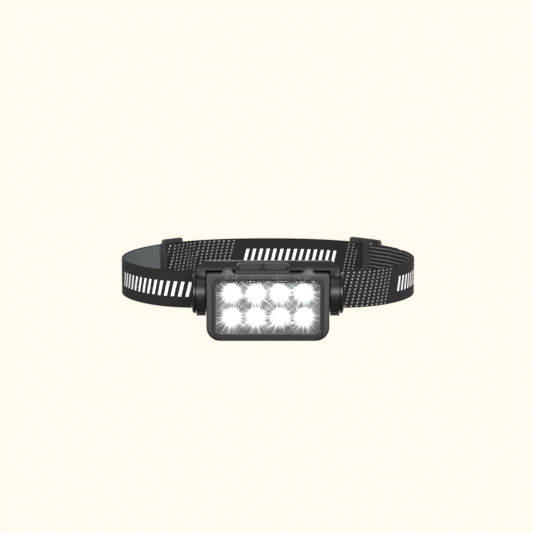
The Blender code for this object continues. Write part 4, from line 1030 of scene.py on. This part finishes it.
def bowl(bm, centre):
    """A fluted bowl round an LED, from its small rear ring to its wide front ring."""
    rows = []
    for i in range(CUP_RINGS + 1):
        t = i / CUP_RINGS
        depth = REFLECTOR_REAR + (REFLECTOR_FRONT - REFLECTOR_REAR) * t
        radius = CUP_REAR + (CUP_FRONT - CUP_REAR) * t ** 0.6
        flute = FLUTE if 0 < i < CUP_RINGS else 0
        row = []
        for k, (x, z) in enumerate(circle(centre, radius)):
            press = 1 + (flute if k % 2 else -flute)
            place = (centre.x + (x - centre.x) * press, depth, centre.z + (z - centre.z) * press)
            row.append(bm.verts.new(place))
        rows.append(row)
    bridge(bm, rows)


outline = window(0.3 * MM)
bm = bmesh.new()
bm.from_mesh(plate(outline, CUP_FRONT, REFLECTOR_FRONT))
bm.from_mesh(plate(outline, CUP_REAR, REFLECTOR_REAR))
for centre in led_places:
    bowl(bm, centre)
sides = [[bm.verts.new((x, depth, z)) for x, z in outline] for depth in (REFLECTOR_FRONT, REFLECTOR_REAR)]
bridge(bm, sides)
bmesh.ops.remove_doubles(bm, verts=bm.verts, dist=0.005 * MM)
bmesh.ops.recalc_face_normals(bm, faces=bm.faces)
print("reflector open edges:", sum(len(e.link_faces) != 2 for e in bm.edges))
settle(keep("reflector_bowls", bm, metallised, 25), "lamp_head", metallised, "reflector")

# %% [markdown]
# ## LED domes
#
# Every package carries a small dome over its phosphor, which is too bright to see into when
# lit. All eight are alike, so a Geometry Nodes tree sets one flattened ball on each of eight
# points and realises the copies.

# %% Geometry tree helpers
def tree_with(name, sockets):
    """A geometry tree with its inputs and its output; returns the tree and the inputs' identifiers."""
    made = bpy.data.node_groups.new(name, "GeometryNodeTree")
    made.interface.new_socket("Geometry", in_out="OUTPUT", socket_type="NodeSocketGeometry")
    made.interface.new_socket("Geometry", in_out="INPUT", socket_type="NodeSocketGeometry")
    keys = {label: made.interface.new_socket(label, in_out="INPUT", socket_type=kind).identifier
            for label, kind in sockets}
    return made, keys


def grown(name, points, edges, tree, keys, values):
    """Runs a tree on a small mesh and gives back the result as a plain mesh object."""
    seed = bpy.data.meshes.new(name)
    seed.from_pydata(points, edges, [])
    made = placed(name, seed)
    step = made.modifiers.new("grow", "NODES")
    step.node_group = tree
    for label, value in values.items():
        step[keys[label]] = value
    result = bpy.data.meshes.new_from_object(made.evaluated_get(bpy.context.evaluated_depsgraph_get()))
    made.modifiers.clear()
    made.data = result
    return made


# %% Domes by Geometry Nodes
dome_tree, dome_keys = tree_with("dome on each point", (
    ("Radius", "NodeSocketFloat"), ("Height", "NodeSocketFloat"), ("Finish", "NodeSocketMaterial")))
given = dome_tree.nodes.new("NodeGroupInput").outputs
ball = add(dome_tree, "GeometryNodeMeshUVSphere", {"Segments": 24, "Rings": 12, "Radius": given["Radius"]})
flatten = add(dome_tree, "ShaderNodeMath", {0: given["Height"], 1: given["Radius"]}, operation="DIVIDE")
squat = add(dome_tree, "ShaderNodeCombineXYZ", {"X": 1.0, "Y": flatten, "Z": 1.0})
spread = add(dome_tree, "GeometryNodeInstanceOnPoints",
             {"Points": given["Geometry"], "Instance": ball, "Scale": squat})
real = add(dome_tree, "GeometryNodeRealizeInstances", {"Geometry": spread})
real = add(dome_tree, "GeometryNodeSetShadeSmooth", {"Geometry": real})
real = add(dome_tree, "GeometryNodeSetMaterial", {"Geometry": real, "Material": given["Finish"]})
add(dome_tree, "NodeGroupOutput", {"Geometry": real})
dome_seats = [(centre.x, low.y, centre.z) for centre, (low, _) in zip(led_places, led_boxes)]
domes = grown("led_domes", dome_seats, [], dome_tree, dome_keys,
              {"Radius": 1.9 * MM, "Height": 1.1 * MM, "Finish": lit_package})
settle(domes, "lamp_head", lit_package)

# %% [markdown]
# ## Rubber buttons
#
# Each button is a soft cap with rounded corners, proud of a shallow pocket in the pod. Rings
# again, now turned to the pod's sloping face: the outer end is flat, and the rings close in
# towards the end in the pocket. Their middle lies under the middle of the two solids' faces.

# %% Buttons
SLOPE, UNDER_FACE = math.radians(24), 0.6 * MM
CAP_WIDTH, CAP_HEIGHT, CAP_LOW_CORNER, CAP_TOP_CORNER = 15 * MM, 7.4 * MM, 2.4 * MM, 3.2 * MM
CAP_LEVELS = ((0.0, 0.55), (0.0, -0.2), (0.12, -0.42), (0.4, -0.56), (1.0, -0.62), (2.0, -0.66))
CAP_OFFSET = 8.3 * MM
upright = Matrix.Rotation(SLOPE + math.pi / 2, 4, "X")
corners = [upright.inverted() @ vertex.co for name in ("button_left", "button_right")
           for vertex in nodes[name].data.vertices]
low, high = (Vector([find(corner[i] for corner in corners) for i in range(3)]) for find in (min, max))
cap_middle = Vector(((low.x + high.x) / 2, high.y - UNDER_FACE, (low.z + high.z) / 2))
for name, side in (("left", -1), ("right", 1)):
    bm = skin([(ring(CAP_WIDTH, CAP_HEIGHT, CAP_LOW_CORNER, CAP_TOP_CORNER, 0, cut * MM), level * MM)
               for cut, level in CAP_LEVELS])
    bm.transform(upright @ Matrix.Translation(cap_middle + Vector((side * CAP_OFFSET, 0, 0))))
    settle(keep(f"button_cap_{name}", bm, silicone_grey), f"button_{name}", silicone_grey, f"button_{name}")

# %% [markdown]
# ## Sliders
#
# Each slider is a flat moulded frame with rounded edges, bent to the strap's curve. It is
# drawn flat as an outline with two slots and a small round edge, cut across every 1.5 mm so
# that it can bend, and then each vertex is moved to its place along the loop.


# %% Bent slider frames
SLIDER_THICK, SLIDER_EDGE, SLIDER_CORNER, SLOT_CORNER = 2 * MM, 0.45 * MM, 1.6 * MM, 1 * MM
SLIDER_HEIGHT, SLOT_HEIGHT = WEB_WIDTH + 7.4 * MM, WEB_WIDTH + 0.8 * MM
BEND_STEP = 1.5 * MM


def box_loop(length, height, corner, x=0.0):
    return [(x + px, pz) for px, pz in ring(length, height, corner, corner, 0, 0, 5)]


def slider(name, middle, length, centre_bar, slot, depth):
    edge = SLIDER_EDGE
    loops = [box_loop(length - 2 * edge, SLIDER_HEIGHT - 2 * edge, SLIDER_CORNER)]
    for side in (-1, 1):
        at = side * (centre_bar + slot) / 2
        loops.append(box_loop(slot + 2 * edge, SLOT_HEIGHT + 2 * edge, SLOT_CORNER, at))
    bm = bmesh.new()
    bm.from_mesh(filled(name, loops, SLIDER_THICK, edge))
    bmesh.ops.remove_doubles(bm, verts=bm.verts, dist=0.005 * MM)
    count = math.ceil(length / BEND_STEP)
    for i in range(1, count):
        cut = (i / count - 0.5) * length
        bmesh.ops.bisect_plane(bm, geom=bm.verts[:] + bm.edges[:] + bm.faces[:], dist=0.001 * MM,
                               plane_co=(cut, 0, 0), plane_no=(1, 0, 0))
    for vertex in bm.verts:
        x, y = loop_point(middle + vertex.co.x, depth + vertex.co.z)
        vertex.co = (x, y, vertex.co.y)
    bmesh.ops.recalc_face_normals(bm, faces=bm.faces)
    return keep(name, bm, acetal, 50)


settle(slider("slider_frame_right", RIGHT_SLIDER, RIGHT_LENGTH, RIGHT_CENTRE_BAR, RIGHT_SLOT, FOLD_RADIUS),
       "yoke_and_strap", acetal, "slider_right")
settle(slider("slider_frame_left", LEFT_SLIDER, LEFT_LENGTH, LEFT_CENTRE_BAR, LEFT_SLOT, LEFT_DEPTH),
       "slider_left", acetal, "slider_left")

# %% [markdown]
# ## Stitches
#
# The strap's ends are sewn down with a box stitch: a rectangle with a cross in it, in
# stitches of about 2.5 mm. A Geometry Nodes tree walks a path, and lays a short thick thread
# on it at every step, turned along the path.

# %% Stitches by Geometry Nodes
thread, tree, shader, place = start_finish("Bonded polyester thread", Roughness=0.6, Sheen_Weight=0.3)
twist = add(tree, "ShaderNodeTexNoise", {"Vector": place, "Scale": 1 / (0.3 * MM)})
shade = layered(tree, linear("1C1D1E"), (linear("2A2B2C"), twist))
tree.links.new(shade, shader.inputs["Base Color"])

stitch_tree, stitch_keys = tree_with("stitches along a path", (
    ("Spacing", "NodeSocketFloat"), ("Length", "NodeSocketFloat"), ("Radius", "NodeSocketFloat"),
    ("Finish", "NodeSocketMaterial")))
given = stitch_tree.nodes.new("NodeGroupInput").outputs
path = add(stitch_tree, "GeometryNodeMeshToCurve", {"Mesh": given["Geometry"]})
path = add(stitch_tree, "GeometryNodeResampleCurve", {"Curve": path, "Length": given["Spacing"]},
           mode="LENGTH")
bead = add(stitch_tree, "GeometryNodeMeshUVSphere", {"Segments": 8, "Rings": 6, "Radius": given["Radius"]})
stretch = add(stitch_tree, "ShaderNodeMath", {0: given["Length"], 1: given["Radius"]}, operation="DIVIDE")
stretch = add(stitch_tree, "ShaderNodeMath", {0: stretch, 1: 0.5}, operation="MULTIPLY")
size = add(stitch_tree, "ShaderNodeCombineXYZ", {"X": 1.0, "Y": 1.0, "Z": stretch})
heading = add(stitch_tree, "GeometryNodeInputTangent")
turn = add(stitch_tree, "FunctionNodeAlignRotationToVector", {"Vector": heading}, axis="Z")
laid = add(stitch_tree, "GeometryNodeInstanceOnPoints",
           {"Points": path, "Instance": bead, "Rotation": turn, "Scale": size})
laid = add(stitch_tree, "GeometryNodeRealizeInstances", {"Geometry": laid})
laid = add(stitch_tree, "GeometryNodeSetShadeSmooth", {"Geometry": laid})
laid = add(stitch_tree, "GeometryNodeSetMaterial", {"Geometry": laid, "Material": given["Finish"]})
add(stitch_tree, "NodeGroupOutput", {"Geometry": laid})
print(f"{stitch_tree.name}: {len(stitch_tree.nodes)} nodes")


# %% Box stitches on both tails
SEAM_HALF, SEAM_STEPS = 9.5 * MM, 16
THREAD_OVER = WEB_THICK / 2 + 0.05 * MM


def box_stitch(name, start, stop, depth_at):
    """A sewn rectangle with a cross, on the webbing between two places along the loop."""
    corners = [(start, -SEAM_HALF), (stop, -SEAM_HALF), (stop, SEAM_HALF), (start, SEAM_HALF)]
    runs = [(corners[i], corners[(i + 1) % 4]) for i in range(4)] + [corners[0::2], corners[1::2]]
    points, edges = [], []
    for (a0, z0), (a1, z1) in runs:
        for i in range(SEAM_STEPS + 1):
            t = i / SEAM_STEPS
            along = a0 + (a1 - a0) * t
            if i:
                edges.append((len(points) - 1, len(points)))
            x, y = loop_point(along, depth_at(along))
            points.append((x, y, z0 + (z1 - z0) * t))
    return grown(name, points, edges, stitch_tree, stitch_keys,
                 {"Spacing": 2.4 * MM, "Length": 1.9 * MM, "Radius": 0.22 * MM, "Finish": thread})


right_stitches = box_stitch("stitches_right_tail", FRONT_BAR - 21 * MM, FRONT_BAR - 9 * MM,
                            lambda along: -THREAD_OVER)
settle(right_stitches, "yoke_and_strap", thread)
left_stitches = box_stitch("stitches_left_tail", LEFT_END - 11 * MM, LEFT_END - 2.5 * MM,
                           lambda along: left_tail_depth(along) + THREAD_OVER)
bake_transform(left_stitches)
print("stitches:", len(right_stitches.data.polygons), len(left_stitches.data.polygons))

# %% [markdown]
# ## Forehead pad
#
# The pad is soft foam under knit: a closed form that is flat against the keeper and crowned
# towards the head, with its edges pulled in and three upright channels that let it bend. A
# square grid is drawn out to the pad's rounded outline, once for each face, and welded.

# %% Crowned pad
low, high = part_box("forehead_pad")
PAD_WIDTH, PAD_HEIGHT, PAD_CORNER = high.x - low.x, high.z - low.z, 7 * MM
PAD_SIDE, PAD_CROWN = 1.6 * MM, 2.7 * MM
CHANNELS, CHANNEL_HALF, CHANNEL_DEPTH = (-21 * MM, 0, 21 * MM), 0.9 * MM, 0.9 * MM


def pad_place(a, b):
    """A point of the unit square drawn out to the rounded outline, and how near the edge it is."""
    m = max(abs(a), abs(b), 1e-6)
    x, z = PAD_WIDTH / 2 * a / m, PAD_HEIGHT / 2 * b / m
    cx, cz = PAD_WIDTH / 2 - PAD_CORNER, PAD_HEIGHT / 2 - PAD_CORNER
    if abs(x) > cx and abs(z) > cz:
        out = Vector((abs(x) - cx, abs(z) - cz)).normalized() * PAD_CORNER
        x, z = math.copysign(cx + out.x, x), math.copysign(cz + out.y, z)
    return x * m, z * m, m


COLUMNS, ROWS = 120, 44
bm = bmesh.new()
for face_side in (0, 1):
    rows = []
    for j in range(ROWS + 1):
        row = []
        for i in range(COLUMNS + 1):
            x, z, m = pad_place(2 * i / COLUMNS - 1, 2 * j / ROWS - 1)
            if face_side:
                full = (1 - m ** 6) ** 0.5
                groove = sum(math.exp(-(((x - at) / CHANNEL_HALF) ** 2)) for at in CHANNELS) * (m < 1)
                y = low.y + PAD_SIDE + (PAD_CROWN - CHANNEL_DEPTH * groove) * full
            else:
                y = low.y + PAD_SIDE * m ** 10
            row.append(bm.verts.new((x, y, z)))
        rows.append(row)
    for one, other in zip(rows, rows[1:]):
        for i in range(COLUMNS):
            bm.faces.new((one[i], one[i + 1], other[i + 1], other[i]))
bmesh.ops.remove_doubles(bm, verts=bm.verts, dist=0.01 * MM)
bmesh.ops.recalc_face_normals(bm, faces=bm.faces)
print("pad open edges:", sum(len(e.link_faces) != 2 for e in bm.edges))
pad = settle(keep("pad_cushion", bm, knit, 80), "yoke_and_strap", knit, "forehead_pad")

# %% [markdown]
# ## Ground and light
#
# The lamp is shown on a pale, even ground. The ground gives off its own colour and is hidden
# from the rays that light the object, so it stays an even tone and adds no glare. Wide, soft
# lamps from the front, the sides, above and behind draw a highlight along every edge.

# %% Ground
GROUND_CODE, GROUND_DEPTH, GROUND_HALF = "FFFAEF", -0.25, 14
ground_finish = bpy.data.materials.new("Pale seamless paper")
ground_finish.use_nodes = True
tree = ground_finish.node_tree
tree.nodes.clear()
paper = add(tree, "ShaderNodeEmission", {"Color": linear(GROUND_CODE), "Strength": 1.0})
add(tree, "ShaderNodeOutputMaterial", {"Surface": paper})
bm = bmesh.new()
bmesh.ops.create_grid(bm, x_segments=1, y_segments=1, size=GROUND_HALF,
                      matrix=Matrix.Translation((0, 0, GROUND_DEPTH)))
mesh = bpy.data.meshes.new("ground")
bm.to_mesh(mesh)
bm.free()
ground = placed("ground", mesh)
mesh.materials.append(ground_finish)
ground.visible_diffuse = ground.visible_glossy = ground.visible_shadow = False
ground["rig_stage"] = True
print(f"ground: {2 * GROUND_HALF} m wide")

# %% Room light and lamps
world = bpy.data.worlds.new("studio")
bpy.context.scene.world = world
world.use_nodes = True
tree = world.node_tree
background = tree.nodes["Background"]
background.inputs["Color"].default_value = linear(GROUND_CODE)
seen = add(tree, "ShaderNodeLightPath", output="Is Camera Ray")
level = add(tree, "ShaderNodeMapRange", {"Value": seen, "To Min": 0.22, "To Max": 1.0})
tree.links.new(level, background.inputs["Strength"])


def softbox(name, place, size, power):
    """A rectangular lamp that faces the origin."""
    lamp = bpy.data.lights.new(name, "AREA")
    lamp.shape = "RECTANGLE"
    lamp.size, lamp.size_y = size
    lamp.energy = power
    made = placed(name, lamp)
    made.location = place
    made.rotation_euler = (-Vector(place)).to_track_quat("-Z", "Y").to_euler()
    print(f"{name}: {power} W")


softbox("key from the front", (0.1, -1.1, 0.42), (0.9, 0.3), 17)
softbox("soft light from above", (0, 0, 1.2), (0.7, 0.7), 2.5)
softbox("fill from behind", (0, 1.2, -0.15), (1.3, 0.8), 9)
softbox("fill from the left", (-0.9, -0.8, 0.25), (0.5, 0.7), 6.5)
softbox("fill from the right", (0.9, -0.8, 0.25), (0.5, 0.7), 6.5)

# %% [markdown]
# ## Camera
#
# A long lens from 1.46 m keeps the loop's front and back nearly the same size. The camera
# stands 8.8 degrees above the loop's middle, and aims just above and left of it.

# %% Camera
ELEVATION, DISTANCE = math.radians(8.8), 1.460
LOOP_MIDDLE, AIM_OFFSET = Vector((0, 0.056, 0)), Vector((-0.97 * MM, 0, 5.9 * MM))
camera_data = bpy.data.cameras.new("camera")
camera_data.lens, camera_data.sensor_width = 141.97, 36
camera_data.clip_end = 100
camera = placed("camera", camera_data)
camera.location = LOOP_MIDDLE + DISTANCE * Vector((0, -math.cos(ELEVATION), math.sin(ELEVATION)))
aim = LOOP_MIDDLE + AIM_OFFSET
camera.rotation_euler = (aim - camera.location).to_track_quat("-Z", "Y").to_euler()
bpy.context.scene.camera = camera
bpy.context.scene.view_settings.view_transform = "Standard"
print(f"camera: {camera_data.lens:.0f} mm lens at {DISTANCE:.2f} m")

# %% Size of the finished model
size = [(high - low) / MM for low, high in zip(*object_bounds())]
print("finished size: {:.1f} x {:.1f} x {:.1f} mm".format(*size))
